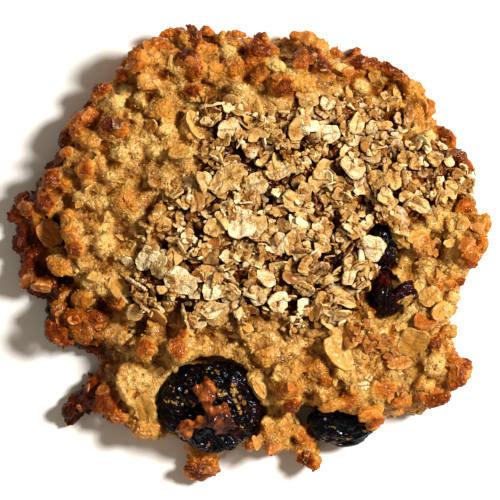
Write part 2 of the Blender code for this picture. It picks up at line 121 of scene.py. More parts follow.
# Clods that stand out, read from the photo in its pixels, which are 0.2 mm here: place, half sizes, how
# brown they are (0 pale, 1 darkest), and the turn in degrees of those that aren't straight.
PIXEL = 0.2
PHOTO_MIDDLE = (247, 251)
CLUMPS = {
    "top_left": (
        (190, 24, 7.5, 4, 0.95, 105), (196, 38, 9, 6, 0.88, 115), (207, 31, 7, 6, 0.6),
        (221, 38, 5.5, 8, 0.42), (189, 57, 10.5, 7.5, 1.0), (196, 71, 11, 11, 0.7),
        (212, 73, 9, 11, 0.35), (193, 92, 8.5, 6.5, 0.85), (232, 69, 12.5, 9.5, 0.5),
        (210, 49, 8.5, 6.5, 0.56), (227, 52, 8.5, 7, 0.05), (138, 62, 12, 12, 0.66),
        (151, 47, 18, 7.5, 0.62, 10), (170, 33, 12, 5, 0.62, 20), (152, 58, 9.5, 7, 0.3),
        (121, 75, 7, 7, 0.6), (151, 83, 13, 9.5, 0.28), (100, 89, 9.5, 8, 0.82), (127, 94, 8, 8, 0.06),
        (113, 103, 12, 8.5, 0.04), (141, 101, 6, 8, 0.1), (86, 117, 15, 9.5, 0.68, 20),
        (114, 126, 11, 8.5, 0.97), (124, 132, 6, 6, 0.6), (80, 132, 10, 8, 0.7),
        (90, 141, 9.5, 9.5, 0.33), (62, 142, 5, 5, 0.92), (65, 153, 7, 5.5, 0.56),
        (88, 170, 7.5, 9, 0.72), (100, 165, 7.5, 8.5, 0.28), (120, 154, 9, 7, 0.03),
        (149, 138, 7, 6.5, 0.02), (166, 131, 8.5, 7, 0.12), (163, 111, 12, 11, 0.38),
        (193, 127, 7, 14, 0.06, 20), (154, 153, 10, 8, 0.04), (186, 153, 10.5, 7, 0.04),
        (127, 199, 12, 12, 0.42), (110, 177, 8.5, 7.5, 0.06), (82, 198, 8, 7, 0.05),
        (100, 203, 11, 7, 0.04), (67, 183, 8, 7, 0.55), (51, 178, 8.5, 9.5, 0.84),
        (47, 203, 8.5, 11, 0.82), (68, 216, 8.5, 7, 0.46), (238, 35, 8, 5, 0.56),
        (239, 90, 10, 6, 0.05),
    ),
    "left": (
        (21, 197, 7.5, 6.5, 0.86), (14, 214, 5.5, 9.5, 0.86), (27, 209, 7.5, 7.5, 0.74),
        (19, 243, 7, 10, 0.97), (27, 276, 8.5, 11.5, 0.82), (40, 283, 9.5, 6.5, 0.62),
        (75, 248, 8.5, 9.5, 0.8), (71, 232, 9.5, 9.5, 0.5), (91, 226, 13, 6, 0.28, -40),
        (103, 247, 11, 13, 0.08), (57, 251, 11.5, 5.5, 0.02, -35), (61, 267, 13, 8.5, 0.46, -25),
        (94, 279, 11.5, 6.5, 0.03), (113, 285, 11.5, 9.5, 0.18), (82, 299, 11, 10, 0.42),
        (118, 304, 8.5, 6, 0.44), (72, 318, 11.5, 7.5, 0.56), (99, 318, 10.5, 8.5, 0.64),
        (54, 331, 9.5, 11, 0.68), (62, 342, 12, 6, 0.68), (83, 334, 11, 11, 0.26),
        (146, 348, 10.5, 9.5, 0.62), (179, 347, 8, 13, 0.74, 12), (184, 331, 3.5, 7, 0.78),
        (140, 379, 11, 11, 0.12), (90, 396, 10, 16, 0.76, -35), (67, 411, 9, 7, 0.84, 30),
        (107, 402, 12, 16, 0.7), (117, 418, 11, 7, 0.62), (125, 392, 5, 15, 0.04, 25),
        (155, 433, 11.5, 8, 0.3), (139, 429, 9, 9, 0.36),
    ),
    "front": (
        (204, 461, 17, 8.5, 0.56), (201, 473, 12.5, 8.5, 0.93), (190, 469, 5.5, 5, 0.88),
        (286, 388, 15, 9, 0.56), (292, 406, 8.5, 7.5, 0.84), (260, 386, 8, 13, 0.05, 40),
        (310, 367, 8.5, 7, 0.52), (264, 357, 11, 11, 0.34), (294, 367, 8.5, 10, 0.28),
        (282, 429, 12.5, 12.5, 0.34), (305, 438, 8, 13, 0.58, 35), (306, 459, 7.5, 6.5, 0.92),
        (270, 450, 5.5, 7, 0.64), (249, 446, 5.5, 7, 0.62),
    ),
    "right_front": (
        (319, 366, 11.5, 9, 0.42), (326, 380, 7, 5.5, 0.56), (347, 400, 10, 9, 0.68),
        (384, 389, 10, 9, 0.62), (401, 402, 9, 7.5, 0.56), (371, 413, 13, 7.5, 0.46),
        (376, 421, 10, 4.5, 0.78), (331, 404, 12.5, 6.5, 0.38), (405, 414, 10, 4, 0.5, 25),
        (435, 400, 13, 8, 0.8, 10), (458, 378, 8, 11.5, 0.74), (466, 364, 6, 6.5, 0.78),
        (453, 360, 8, 9.5, 0.58), (435, 343, 7, 7, 0.8), (435, 366, 10.5, 10.5, 0.08),
        (444, 311, 9, 10.5, 0.05), (451, 331, 8, 8, 0.26), (453, 282, 9.5, 7, 0.56),
        (460, 282, 4, 5, 0.8), (439, 283, 10.5, 10.5, 0.46), (453, 297, 8, 7, 0.1),
        (420, 294, 10.5, 8, 0.05), (424, 265, 8, 8, 0.26),
    ),
    "right_back": (
        (415, 94, 8.5, 15, 0.42, 35), (429, 106, 7, 8.5, 0.5), (444, 137, 8, 13.5, 0.78, 30),
        (458, 156, 10, 8.5, 0.93), (464, 167, 6.5, 9.5, 0.82), (463, 188, 7.5, 8.5, 0.6),
        (428, 140, 8, 9.5, 0.05), (466, 207, 10.5, 8, 0.64), (480, 225, 5, 14, 0.42),
        (458, 224, 9.5, 9.5, 0.08), (466, 247, 10.5, 9.5, 0.6), (471, 262, 7.5, 7.5, 0.7),
        (450, 248, 9.5, 9.5, 0.22), (481, 245, 5, 8, 0.56), (428, 264, 6.5, 7.5, 0.06),
        (399, 231, 9.5, 14, 0.3, 10), (421, 247, 10, 13, 0.45), (409, 292, 9, 9.5, 0.34),
    ),
    "back": (
        (262, 39, 7.5, 6.5, 0.9), (261, 49, 13.5, 8.5, 0.84), (255, 64, 10.5, 9.5, 0.72),
        (261, 77, 12, 12, 0.56), (284, 89, 12, 10.5, 0.8), (277, 37, 12, 5.5, 0.28, 15),
        (296, 35, 8, 5.5, 0.52), (310, 38, 6, 7, 0.46), (318, 48, 9.5, 8, 0.34),
        (301, 57, 9.5, 7, 0.66), (302, 66, 8, 7, 0.7), (314, 54, 6, 5, 0.96),
        (322, 66, 13.5, 7.5, 0.97, -35), (276, 66, 9.5, 7, 0.12), (305, 86, 11, 11, 0.34),
        (337, 53, 7, 5.5, 0.62), (349, 51, 5.5, 5, 0.97), (342, 68, 8, 5.5, 0.03),
        (361, 62, 9.5, 7, 0.88), (373, 62, 7, 6.5, 0.82), (391, 70, 13, 7, 0.82, -30),
        (403, 78, 7, 5.5, 0.72), (350, 80, 8, 9.5, 0.6), (361, 88, 8, 9.5, 0.15),
        (411, 90, 11, 8, 0.42, -40), (429, 104, 4.5, 4.5, 0.62), (418, 115, 7, 16, 0.42, 20),
    ),
}

# Clods that stand out: how thick they are for their width, how far they rise over what they stand on,
# and below which brownness they are the palest crumb.
CLUMP_THICKNESS = 0.8
CLUMP_RISE = 2.1
PALE_CLUMP = 0.2

# Pits in the dough, in the same way, with their depth in millimetres in place of the brownness. Each is
# sunk by that depth and gets painted shade that darkens with it.
PITS = (
    (165, 76, 8, 6.5, 2.0), (361, 76, 9, 5, 1.2), (388, 85, 6, 6, 1.4), (377, 91, 10, 6, 1.2),
    (349, 104, 8, 5, 1.2), (107, 301, 17, 5, 2.0), (63, 285, 11, 7, 1.6), (435, 254, 7, 6, 1.6),
    (414, 218, 10, 6, 1.4), (391, 331, 4, 6, 1.2), (111, 309, 16, 4, 1.4, -20), (245, 52, 5, 6, 1.2),
    (384, 266, 13, 7, 3.2, 10), (371, 294, 6, 20, 2.6, 8), (369, 244, 5, 14, 2.4),
    (150, 96, 9, 5, 1.0, 20), (148, 186, 8, 10, 0.5, 60), (244, 78, 3.5, 9, 1.0), (204, 86, 5, 4, 0.8),
    (292, 96, 7, 4, 0.8), (330, 370, 5, 7, 0.9, -40), (312, 352, 6, 3, 0.7),
)

# How browned the dough is, 0 to 1: everywhere, towards the rim, down the left edge, by its foot, by
# chance from clod to clod, in the heap, and on the outer left. Down the left edge and on the outer
# left the brown is partly browning and partly painted shade of the sides that face away from the light.
# The rim starts at a share of the cookie's reach, which is measured in sectors.
PLAIN_BROWN = 0.12
RIM_BROWN = 0.2
LEFT_BROWN_AND_SHADE = 0.42
FOOT_BROWN = 0.12
CLOD_BROWN = 0.12
HEAP_BROWN = 0.2
OUTER_BROWN_AND_SHADE = 0.06
RIM_START = 0.74
RIM_SECTORS = 120

# Regions of the dough, each from where it starts to where it is whole, by X, Y or height.
LEFT_EDGE_X = (-28, -35)
LEFT_EDGE_Z = (11, 6)
OUTER_LEFT_X = (-20, -27)
OUTER_LEFT_Y = (-8, -14)
LOWER_LEFT_X = (-22, -33)
LOWER_LEFT_Y = (-8, -12)
UPPER_LEFT_Y = (-24, -18)
FOOT_Z = (5, 1)

# Shade on the left of the dough, which the light from the right doesn't reach, and in the heap: 1 is as
# dark as a hollow, and 2 is the darkest.
SHADED_TIER = 1.1
SHADED_SKIRT = 1.2
HEAP_SHADE = 1.9

# Outline of the oat heap, seen from above.
HEAP_OUTLINE = (
    (-23.4, -6.8), (-22.4, 0.2), (-19.0, 4.6), (-15.0, 11.2), (-10.2, 18.2), (-9.4, 26.2), (-7.8, 30.6),
    (-3.0, 31.0), (3.0, 26.6), (10.6, 29.8), (15.8, 31.8), (21.0, 29.4), (27.8, 31.0), (32.2, 27.8),
    (33.0, 21.2), (38.6, 20.2), (44.6, 15.8), (44.2, 10.6), (37.8, 7.8), (31.4, 5.0), (25.8, 3.0),
    (27.8, -1.4), (25.0, -7.8), (23.0, -12.2), (15.6, -16.2), (6.6, -14.2), (-2.2, -14.2), (-8.4, -15.8),
    (-15.0, -13.4), (-21.4, -13.8),
)

# Oats of the heap, laid in layers: how many crumbs, chips, bits and whole flakes a layer has, the share
# of chips that stand up, how rough they are, the ranges of their thickness, radii and half lengths, and
# the lowest ground that holds loose oats. Their places are drawn in batches from the heap's box.
HEAP_LAYERS = 3
CRUMBS_A_LAYER = 280
CHIPS_A_LAYER = 500
BITS_A_LAYER = 250
FLAKES_A_LAYER = 40
STANDING_CHIPS = 0.25
CHIP_ROUGHNESS = 0.6
CHIP_THICKNESS = (0.3, 0.55)
CRUMB_RADIUS = (0.3, 0.7)
CHIP_HALF = (0.7, 1.8)
BIT_HALF = (0.4, 0.9)
FLAKE_HALF = (1.6, 2.5)
LOWEST_OAT = 5.0
HEAP_X = (-26, 47)
HEAP_Y = (-19, 34)
HEAP_BATCH = 4096
HEAP_EDGE_SEED = 3
HEAP_PATCH_SEED = 19
OAT_SEED = 17

# Shade between the oats: it starts this far below what lies on them, and this far below the heap's mean
# height, where it counts for less.
COVER_START = 0.3
VALLEY_START = 0.3
VALLEY_SHADE = 0.6

# Whole flakes that catch the eye: place, length, width, turn and lean in degrees, paleness, and the
# depth of the ribs where they show.
Hero = namedtuple("Hero", "x y length width turn lean pale ribs", defaults=(0.0,))
HERO_THICKNESS = 0.6
HEROES = (
    (-1.2, 5.6, 6.4, 5.4, 90, 6, 1.0), (-3.8, 14.4, 7.4, 4.4, 28, 12, 0.6),
    (1.8, 13.2, 4.6, 4.2, 10, 10, 0.75), (6.6, 15.8, 5.8, 3.8, 24, 10, 0.75, 0.06),
    (15.4, 15.4, 5.6, 4.8, 70, 12, 0.5), (6.2, 1.4, 4.4, 3.8, 50, 12, 1.0),
    (9.6, 1.6, 5.6, 4.0, 80, 14, 0.6), (8.8, 9.8, 5.0, 3.4, -30, 26, 0.6, 0.08),
    (-8.0, 13.2, 5.8, 3.2, -62, 58, 0.7), (-17.2, 14.0, 5.2, 4.6, -20, 4, 0.35),
    (-10.2, 10.4, 5.8, 3.8, 95, 8, 0.35), (-13.2, -6.0, 6.8, 4.9, -32, 6, 0.9),
    (-17.4, -3.0, 5.4, 3.4, 66, 10, 0.85), (-7.0, -7.8, 4.2, 3.6, 70, 14, 0.95),
    (-3.6, -8.0, 4.4, 3.8, 30, 16, 0.7), (-6.4, -11.8, 5.4, 3.4, 14, 20, 0.9),
    (2.2, -8.8, 4.4, 3.8, 90, 10, 0.8), (6.2, -10.0, 4.2, 3.8, 20, 6, 1.0),
    (18.6, -9.2, 6.2, 2.9, -20, 14, 0.6), (15.2, -9.8, 3.6, 3.2, 60, 10, 0.35),
    (20.2, -4.8, 4.0, 2.6, 70, 14, 0.85), (14.2, -3.6, 6.0, 3.0, 44, 56, 0.8),
    (11.4, -7.4, 4.0, 3.4, -40, 18, 0.75, 0.08), (24.4, 0.6, 5.8, 4.8, -10, 8, 0.95),
    (20.8, 16.4, 5.4, 5.0, 40, 12, 0.85), (16.2, 23.2, 4.2, 3.8, 0, 10, 0.95),
    (16.0, 29.4, 3.6, 3.0, 60, 12, 0.9), (21.8, 25.2, 5.2, 3.0, 55, 24, 0.8, 0.08),
    (32.0, 18.2, 4.4, 2.8, -14, 20, 0.45), (37.2, 18.4, 5.0, 3.2, -10, 18, 0.5),
    (33.0, 9.6, 6.4, 3.4, -25, 22, 0.7), (27.4, 10.6, 5.6, 2.8, -8, 46, 0.75),
    (25.6, 13.8, 4.6, 4.0, 35, 16, 0.6), (29.0, 14.2, 4.4, 3.4, 80, 24, 0.55, 0.08),
    (-19.8, -1.6, 5.4, 4.0, 50, 16, 1.0), (-22.0, -6.6, 5.8, 3.0, -35, 50, 0.8, 0.08),
    (-20.8, -10.6, 5.4, 2.6, 4, 40, 0.6), (-12.6, -12.8, 6.4, 2.8, -22, 48, 0.8),
    (-7.2, 29.0, 4.8, 2.6, 12, 34, 0.7), (-3.4, 24.0, 4.8, 4.2, 0, 20, 0.8),
    (28.2, 29.6, 4.2, 2.6, 10, 10, 0.4), (40.6, 12.4, 4.6, 3.0, -30, 30, 0.6),
    (23.2, -26.8, 3.0, 1.7, 0, 10, 0.85), (24.2, -25.2, 1.3, 1.5, 40, 10, 0.8),
)

# Shape of a flake: the lobes of its outline with their depths, and how far apart its ribs are.
FLAKE_LOBES = ((2, 0.05), (3, 0.06), (5, 0.04), (9, 0.03))
RIB_SPACING = 0.75

# Browned clusters of oats off the heap: place, radius, how many pieces, and their half lengths.
CLUSTER_HALF = (0.5, 1.2)
OAT_CLUSTERS = ((22.8, -16.4, 2.2, 26), (26.8, -19.6, 3.2, 44), (35.6, 0.6, 2.2, 22), (31.4, -28.0, 1.8, 14))

# Flakes and bits soaked into the dough: how many of the random places have one, how far apart they are,
# their half lengths and thickness, the lowest and the steepest place that hold one, and how near they
# come to a drop deeper than this.
SOAKED_PLACES = 7000
SOAKED_COUNT = 170
SOAKED_SPACING = 3.4
SOAKED_HALF = (0.8, 2.1)
SOAKED_THICKNESS = (0.4, 0.7)
LOWEST_SOAKED = 4.0
STEEPEST_SOAKED = 0.6
RIM_REACH = 1.8
RIM_DROP = 2.5
SOAKED_SEED = 29

# Soaked flakes that stand out: place, length, width, turn, how brown.
SOAKED_HEROES = (
    (18.2, -20.2, 7.8, 4.6, -58, 0.05), (33.2, -18.4, 6.8, 5.8, 70, 0.0), (36.4, -9.0, 4.4, 3.6, 40, 0.05),
    (20.2, -16.6, 5.8, 3.4, -58, 0.3), (35.6, -13.8, 5.0, 4.4, 20, 0.5), (-18.0, -13.2, 5.8, 4.4, 80, 0.15),
    (-25.4, -7.4, 5.0, 3.6, -60, 0.1), (-20.3, -31.5, 6.0, 4.4, 100, 0.2), (2.4, -27.2, 4.8, 2.2, -60, 0.1),
    (-39.6, 3.6, 5.8, 4.6, -60, 0.42), (-41.2, -7.2, 4.2, 3.0, -10, 0.45), (-10.4, 25.0, 6.0, 2.6, -62, 0.15),
    (-19.0, 24.6, 3.6, 2.6, 30, 0.1), (33.6, 3.0, 5.4, 3.0, 10, 0.15), (38.4, -12.0, 4.4, 3.2, 40, 0.1),
    (30.4, -22.4, 5.0, 2.5, 8, 0.36), (-13.4, 19.6, 4.2, 3.0, 20, 0.1),
)

# Raisins: place, half sizes, tilt about X and Y and turn about Z in degrees, wrinkle size, notch and
# taper as shares of the half sizes, the direction, size and depth of the fine folds, how red it is, and
# the subdivisions of its ball. Fine folds are longer than wide, and form where their noise is low.
Raisin = namedtuple("Raisin", "x y z half_x half_y half_z tilt_x tilt_y turn wrinkle notch taper "
                              "fine_turn fine_size fine_depth red detail")
RAISINS = {
    "raisin_front": Raisin(-7.2, -31.0, 9.4, 10.6, 9.7, 5.4, 14, 4, -12, 4.4, 0, 0, -45, 1.3, 0.6, 0.12, 7),
    "raisin_edge": Raisin(19.2, -34.0, 5.2, 7.8, 5.4, 4.6, 10, 0, 6, 3.6, 0, 0, 10, 2.6, 0.5, 0, 6),
    "raisin_right": Raisin(
        29.0, -8.5, 13.6, 4.9, 5.0, 3.4, 8, -8, -18, 3.0, 0.75, 0.55, 70, 1.1, 0.4, 0.45, 6),
    "raisin_inner": Raisin(27.0, 1.4, 14.8, 3.1, 4.3, 3.0, 0, 10, 22, 2.2, 0, 0, 60, 0.7, 0.25, 0.2, 6),
}
FINE_STRETCH = 6.0
FINE_LEVEL = 0.24
NOTCH_WIDTH = 0.6

# Hollows pressed into raisins: raisin, place, radius, depth.
RAISIN_HOLLOWS = (
    ("raisin_front", -11.6, -32.2, 3.0, 1.3), ("raisin_front", -6.2, -37.0, 3.4, 1.2),
    ("raisin_edge", 19.0, -36.9, 3.6, 0.9), ("raisin_right", 26.0, -6.0, 1.8, 0.9),
)

# Crumbs that stick to the raisins: place, length and width of the patch, its turn, how many and their
# radii. A share of them is made, and the smear below them is coloured in.
Crumbs = namedtuple("Crumbs", "x y long wide turn count low high")
CRUMB_SHARE = 0.6
SMEAR_SHARE = 0.16
RAISIN_CRUMB_SEED = 53
RAISIN_CRUMBS = (
    Crumbs(-1.9, -29.2, 5.8, 1.6, -65, 34, 0.22, 0.5), Crumbs(-13.4, -30.0, 6.6, 1.6, -12, 26, 0.2, 0.42),
    Crumbs(-11.7, -27.9, 1.6, 1.2, 0, 6, 0.2, 0.4), Crumbs(-15.0, -27.6, 1.2, 1.6, 0, 5, 0.2, 0.35),
    Crumbs(-5.4, -27.8, 2.0, 2.0, 0, 10, 0.25, 0.5), Crumbs(-7.2, -38.3, 1.6, 0.8, 10, 4, 0.3, 0.5),
    Crumbs(1.0, -33.4, 4.6, 8.6, 0, 18, 0.12, 0.35), Crumbs(-3.2, -38.2, 4.4, 5.0, 0, 8, 0.12, 0.35),
    Crumbs(-6.2, -23.8, 3.4, 1.2, -10, 9, 0.15, 0.3), Crumbs(23.9, -35.9, 0.9, 0.7, 0, 3, 0.35, 0.55),
    Crumbs(23.6, -38.4, 2.2, 1.6, 0, 12, 0.25, 0.5), Crumbs(18.0, -39.0, 1.8, 0.7, 10, 6, 0.25, 0.45),
    Crumbs(17.6, -37.8, 7.0, 1.4, 4, 16, 0.12, 0.25), Crumbs(17.2, -35.0, 0.9, 0.8, 0, 4, 0.15, 0.3),
    Crumbs(32.0, -10.0, 2.4, 1.4, 30, 11, 0.6, 1.0), Crumbs(29.2, -0.0, 0.8, 1.0, 0, 3, 0.3, 0.5),
)

# Skin of a raisin: it folds in where a noise is under a level, by so much for each step below it, and
# swells a little between its folds.
Crease = namedtuple("Crease", "spacing level steepness")
WRINKLES = Crease(1.0, 0.35, 1.5)
FOLDS = Crease(2.4, 0.25, 2.2)
CREASE_DEPTH = 0.42
SWELLING = 0.1

# Scrap of dough on the front raisin: the voxel of its fusing, its waves (length and depth), its
# triangles, and where its darker lower part starts and is whole.
SCRAP_VOXEL = 0.16
SCRAP_WAVES = ((2.2, 0.28), (1.0, 0.14), (0.5, 0.04))
SCRAP_TRIANGLES = 16000
SCRAP_LOWER_X = (-9.6, -8.6)
SCRAP_LOWER_Y = (-31.0, -32.4)
SCRAP_SEED = 41

# Camera: how much it sees at the cookie's middle, where that is, and how far off it stands; its sensor.
VIEW_WIDTH = 100.0
VIEW_CENTRE = (0.6, 0.2)
MIDDLE_Z = 8.0
CAMERA_DISTANCE = 800.0
SENSOR = 36.0

# Floor and lights. A light has its azimuth (0 is +X, 90 is +Y) and elevation in degrees, its distance and
# size in metres, its power and its colour.
FLOOR_HALF = 900.0
FLOOR_Z = -0.02
Lamp = namedtuple("Lamp", "name azimuth elevation distance size power tone")
LAMPS = (
    Lamp("window", 18, 52, 0.9, 0.19, 9.6, (1.0, 0.97, 0.93)),
    Lamp("bounce", 235, 35, 1.0, 0.6, 0.6, (1.0, 0.94, 0.86)),
)
SKY_TONE = (1.0, 0.86, 0.66, 1)
SKY_STRENGTH = 0.23


# Mesh helpers

def in_scene(name, data):
    """A new object that holds the data."""
    made = bpy.data.objects.new(name, data)
    bpy.context.scene.collection.objects.link(made)
    return made


def triangle_object(name, points, triangles, values=None):
    """An object made of points in millimetres and triangles, with named values at its points."""
    mesh = bpy.data.meshes.new(name)
    mesh.vertices.add(len(points))
    mesh.vertices.foreach_set("co", (np.asarray(points, float) * MM).ravel())
    mesh.loops.add(3 * len(triangles))
    mesh.loops.foreach_set("vertex_index", np.asarray(triangles).ravel())
    mesh.polygons.add(len(triangles))
    mesh.polygons.foreach_set("loop_start", np.arange(0, 3 * len(triangles), 3))
    mesh.update(calc_edges=True)
    mesh.validate()
    for label, numbers in (values or {}).items():
        set_values(mesh, label, numbers)
    return in_scene(name, mesh)


def set_values(mesh, label, numbers):
    layer = mesh.attributes.new(label, "FLOAT", "POINT")
    layer.data.foreach_set("value", np.asarray(numbers, np.float32))


def rows_from(items, key, width, kind):
    """What each item of a mesh holds under a key, as rows of this width."""
    flat = np.empty(len(items) * width, kind)
    items.foreach_get(key, flat)
    return flat.reshape(-1, width)


def points_of(mesh):
    return rows_from(mesh.vertices, "co", 3, np.float32).astype(float) / MM


def normals_of(mesh):
    return rows_from(mesh.vertex_normals, "vector", 3, np.float32).astype(float)


def triangles_of(mesh):
    mesh.calc_loop_triangles()
    return rows_from(mesh.loop_triangles, "vertices", 3, np.int32)


def edges_of(mesh):
    return rows_from(mesh.edges, "vertices", 2, np.int32)


def values_of(mesh, label):
    return rows_from(mesh.attributes[label].data, "value", 1, np.float32).ravel()


def move_points(mesh, points):
    mesh.vertices.foreach_set("co", (points * MM).astype(np.float32).ravel())
    mesh.update()


def apply_modifiers(obj):
    graph = bpy.context.evaluated_depsgraph_get()
    graph.update()
    final = bpy.data.meshes.new_from_object(obj.evaluated_get(graph))
    obj.modifiers.clear()
    obj.data = final


def fuse(obj, voxel):
    """One skin round all that the mesh holds."""
    skin = obj.modifiers.new("skin", "REMESH")
    skin.mode = "VOXEL"
    skin.voxel_size = voxel * MM
    apply_modifiers(obj)


def decimate_to(obj, triangles):
    now = sum(len(face.vertices) - 2 for face in obj.data.polygons)
    if now > triangles:
        collapse = obj.modifiers.new("collapse", "DECIMATE")
        collapse.ratio = triangles / now
        apply_modifiers(obj)


def largest_skin(obj):
    """Drops every bit of the mesh that isn't joined to its largest skin."""
    edges = edges_of(obj.data)
    label = np.arange(len(obj.data.vertices))
    while True:
        low = np.minimum(label[edges[:, 0]], label[edges[:, 1]])
        before = label.copy()
        np.minimum.at(label, edges[:, 0], low)
        np.minimum.at(label, edges[:, 1], low)
        label = label[label]
        if np.array_equal(before, label):
            break
    names, sizes = np.unique(label, return_counts=True)
    keep = label == names[sizes.argmax()]
    shape = bmesh.new()
    shape.from_mesh(obj.data)
    shape.verts.ensure_lookup_table()
    bmesh.ops.delete(shape, geom=[shape.verts[i] for i in np.flatnonzero(~keep)], context="VERTS")
    shape.to_mesh(obj.data)
    shape.free()


def shade_smooth(obj, angle=180):
    obj.data.shade_smooth()
    if angle < 180:
        obj.data.set_sharp_from_angle(angle=math.radians(angle))


def sphere_parts(detail):
    """Points and triangles of an icosphere of radius 1."""
    shape = bmesh.new()
    bmesh.ops.create_icosphere(shape, subdivisions=detail, radius=1)
    points = np.array([vert.co[:] for vert in shape.verts])
    triangles = np.array([[vert.index for vert in face.verts] for face in shape.faces])
    shape.free()
    return points, triangles


def repeated(points, triangles):
    """One mesh from the points of many equal bodies, a row for each, and the triangles of one body."""
    count, corners = points.shape[:2]
    offsets = (np.arange(count) * corners)[:, None, None]
    return points.reshape(-1, 3), (triangles[None] + offsets).reshape(-1, 3)


class Pile:
    """Meshes gathered into one piece, with values at their points."""

    def __init__(self):
        self.points, self.triangles, self.values, self.count = [], [], {}, 0

    def add(self, points, triangles, **values):
        self.points.append(points)
        self.triangles.append(triangles + self.count)
        self.count += len(points)
        for label, numbers in values.items():
            self.values.setdefault(label, []).append(np.broadcast_to(numbers, len(points)))

    def build(self, name, sharp=None, ground=None):
        """One object; with a ground, it also gets how deep each point lies below what was laid on it, for
        painted shade.
        """
        points = np.concatenate(self.points)
        values = {label: np.concatenate(rows) for label, rows in self.values.items()}
        if ground:
            x, y, z = points.T
            values["depth"] = np.clip(ground.at(x, y) - z - COVER_START, 0, 3)
            values["depth"] += VALLEY_SHADE * np.clip(ground.eased_height(x, y) - z - VALLEY_START, 0, 2)
        made = triangle_object(name, points, np.concatenate(self.triangles), values)
        if sharp:
            shade_smooth(made, sharp)
        return made


# Smooth random fields

def waves(points, draw, length, count=14):
    """A smooth random field, about -1 to 1, whose bumps are about this many millimetres apart."""
    points = np.asarray(points, float)
    ways = draw.normal(size=(count, points.shape[-1]))
    ways /= np.linalg.norm(ways, axis=1, keepdims=True)
    ways *= (math.tau / length) * draw.uniform(0.7, 1.35, (count, 1))
    return np.sin(points @ ways.T + draw.uniform(0, math.tau, count)).sum(-1) * math.sqrt(2 / count) * 0.6


def clod_heights(points, clods):
    """How high each point stands on its clod of dough, 0 to 1, and a chance number for that clod."""
    nearest, gap, centres = np.empty(len(points)), np.empty(len(points)), np.empty((len(points), 3))
    shift = Vector((clods.seed, 3.7 * clods.seed, -2.3 * clods.seed))
    for number, point in enumerate(points):
        spot = Vector(point) / clods.spacing + shift
        spot += noise.noise_vector(spot * 1.3) * clods.bend
        far, near = noise.voronoi(spot)
        nearest[number], gap[number], centres[number] = far[0], far[1] - far[0], near[0]
    height = 0.6 * (1 - np.minimum(nearest, 1) ** 2) + 0.4 * smoothstep(0, 0.3, gap)
    chance = np.sin(centres @ CHANCE_WAY) * CHANCE_SCALE
    return height, chance - np.floor(chance)


def clod_rise(points, clods):
    """How far each point is raised by its clod."""
    height, chance = clod_heights(points, clods)
    return clods.depth * (height - clods.level + clods.uneven * (chance - 0.5))


def smoothstep(low, high, value):
    share = np.clip((np.asarray(value, float) - low) / (high - low), 0, 1)
    return share * share * (3 - 2 * share)


def eased(points, edges, rounds):
    """The points after they have drifted towards their neighbours this many times."""
    count = len(points)
    start, end = edges[:, 0], edges[:, 1]
    degree = np.bincount(start, minlength=count) + np.bincount(end, minlength=count)
    degree = np.maximum(degree, 1)[:, None]
    for _ in range(rounds):
        total = np.stack([
            np.bincount(start, points[end, axis], count) + np.bincount(end, points[start, axis], count)
            for axis in range(3)], axis=1)
        points = 0.4 * points + 0.6 * total / degree
    return points


# Places on the cookie

def inside_heap(x, y):
    """Distance inside the heap's outline in millimetres, below zero outside it."""
    x, y = np.asarray(x, float), np.asarray(y, float)
    nearest = np.full(x.shape, np.inf)
    inside = np.zeros(x.shape, bool)
    corners = list(HEAP_OUTLINE)
    for (ax, ay), (bx, by) in zip(corners, corners[1:] + corners[:1]):
        span = (bx - ax) ** 2 + (by - ay) ** 2
        share = np.clip(((x - ax) * (bx - ax) + (y - ay) * (by - ay)) / span, 0, 1)
        nearest = np.minimum(nearest, np.hypot(x - ax - share * (bx - ax), y - ay - share * (by - ay)))
        crosses = (ay > y) != (by > y)
        with np.errstate(divide="ignore", invalid="ignore"):
            left = x < (bx - ax) * (y - ay) / (by - ay) + ax
        inside ^= crosses & left
    return np.where(inside, nearest, -nearest)


def raisin_level(x, y, margin):
    """How far (x, y) is from the nearest raisin's middle, where 1 is its outline and margin."""
    level = np.full(np.shape(x), np.inf)
    for raisin in RAISINS.values():
        oval = Oval(raisin.x, raisin.y, raisin.half_x + margin, raisin.half_y + margin, raisin.turn)
        level = np.minimum(level, oval_level(x, y, oval))
    return level


def oval_level(x, y, oval):
    """How far (x, y) is from the middle of an oval, where 1 is its outline."""
    turn = math.radians(oval.turn)
    along = (x - oval.x) * math.cos(turn) + (y - oval.y) * math.sin(turn)
    across = (y - oval.y) * math.cos(turn) - (x - oval.x) * math.sin(turn)
    return np.hypot(along / oval.long, across / oval.wide)


def from_photo(x, y, half_long, half_wide, value, turn=0):
    """An oval in millimetres, from the photo's pixels."""
    middle_x, middle_y = PHOTO_MIDDLE
    place = ((x - middle_x) * PIXEL, (middle_y - y) * PIXEL)
    return Oval(*place, half_long * PIXEL, half_wide * PIXEL, turn, value)


def spread(points, spacing):
    """Which points stay when each keeps this distance from those kept before it."""
    cells, kept = {}, []
    for number, point in enumerate(points):
        cell = tuple(int(math.floor(value / spacing)) for value in point)
        near = (cells.get((cell[0] + a, cell[1] + b, cell[2] + c))
                for a in (-1, 0, 1) for b in (-1, 0, 1) for c in (-1, 0, 1))
        if all(other is None or math.dist(other, point) >= spacing for other in near):
            cells[cell] = tuple(point)
            kept.append(number)
    return np.array(kept, int)


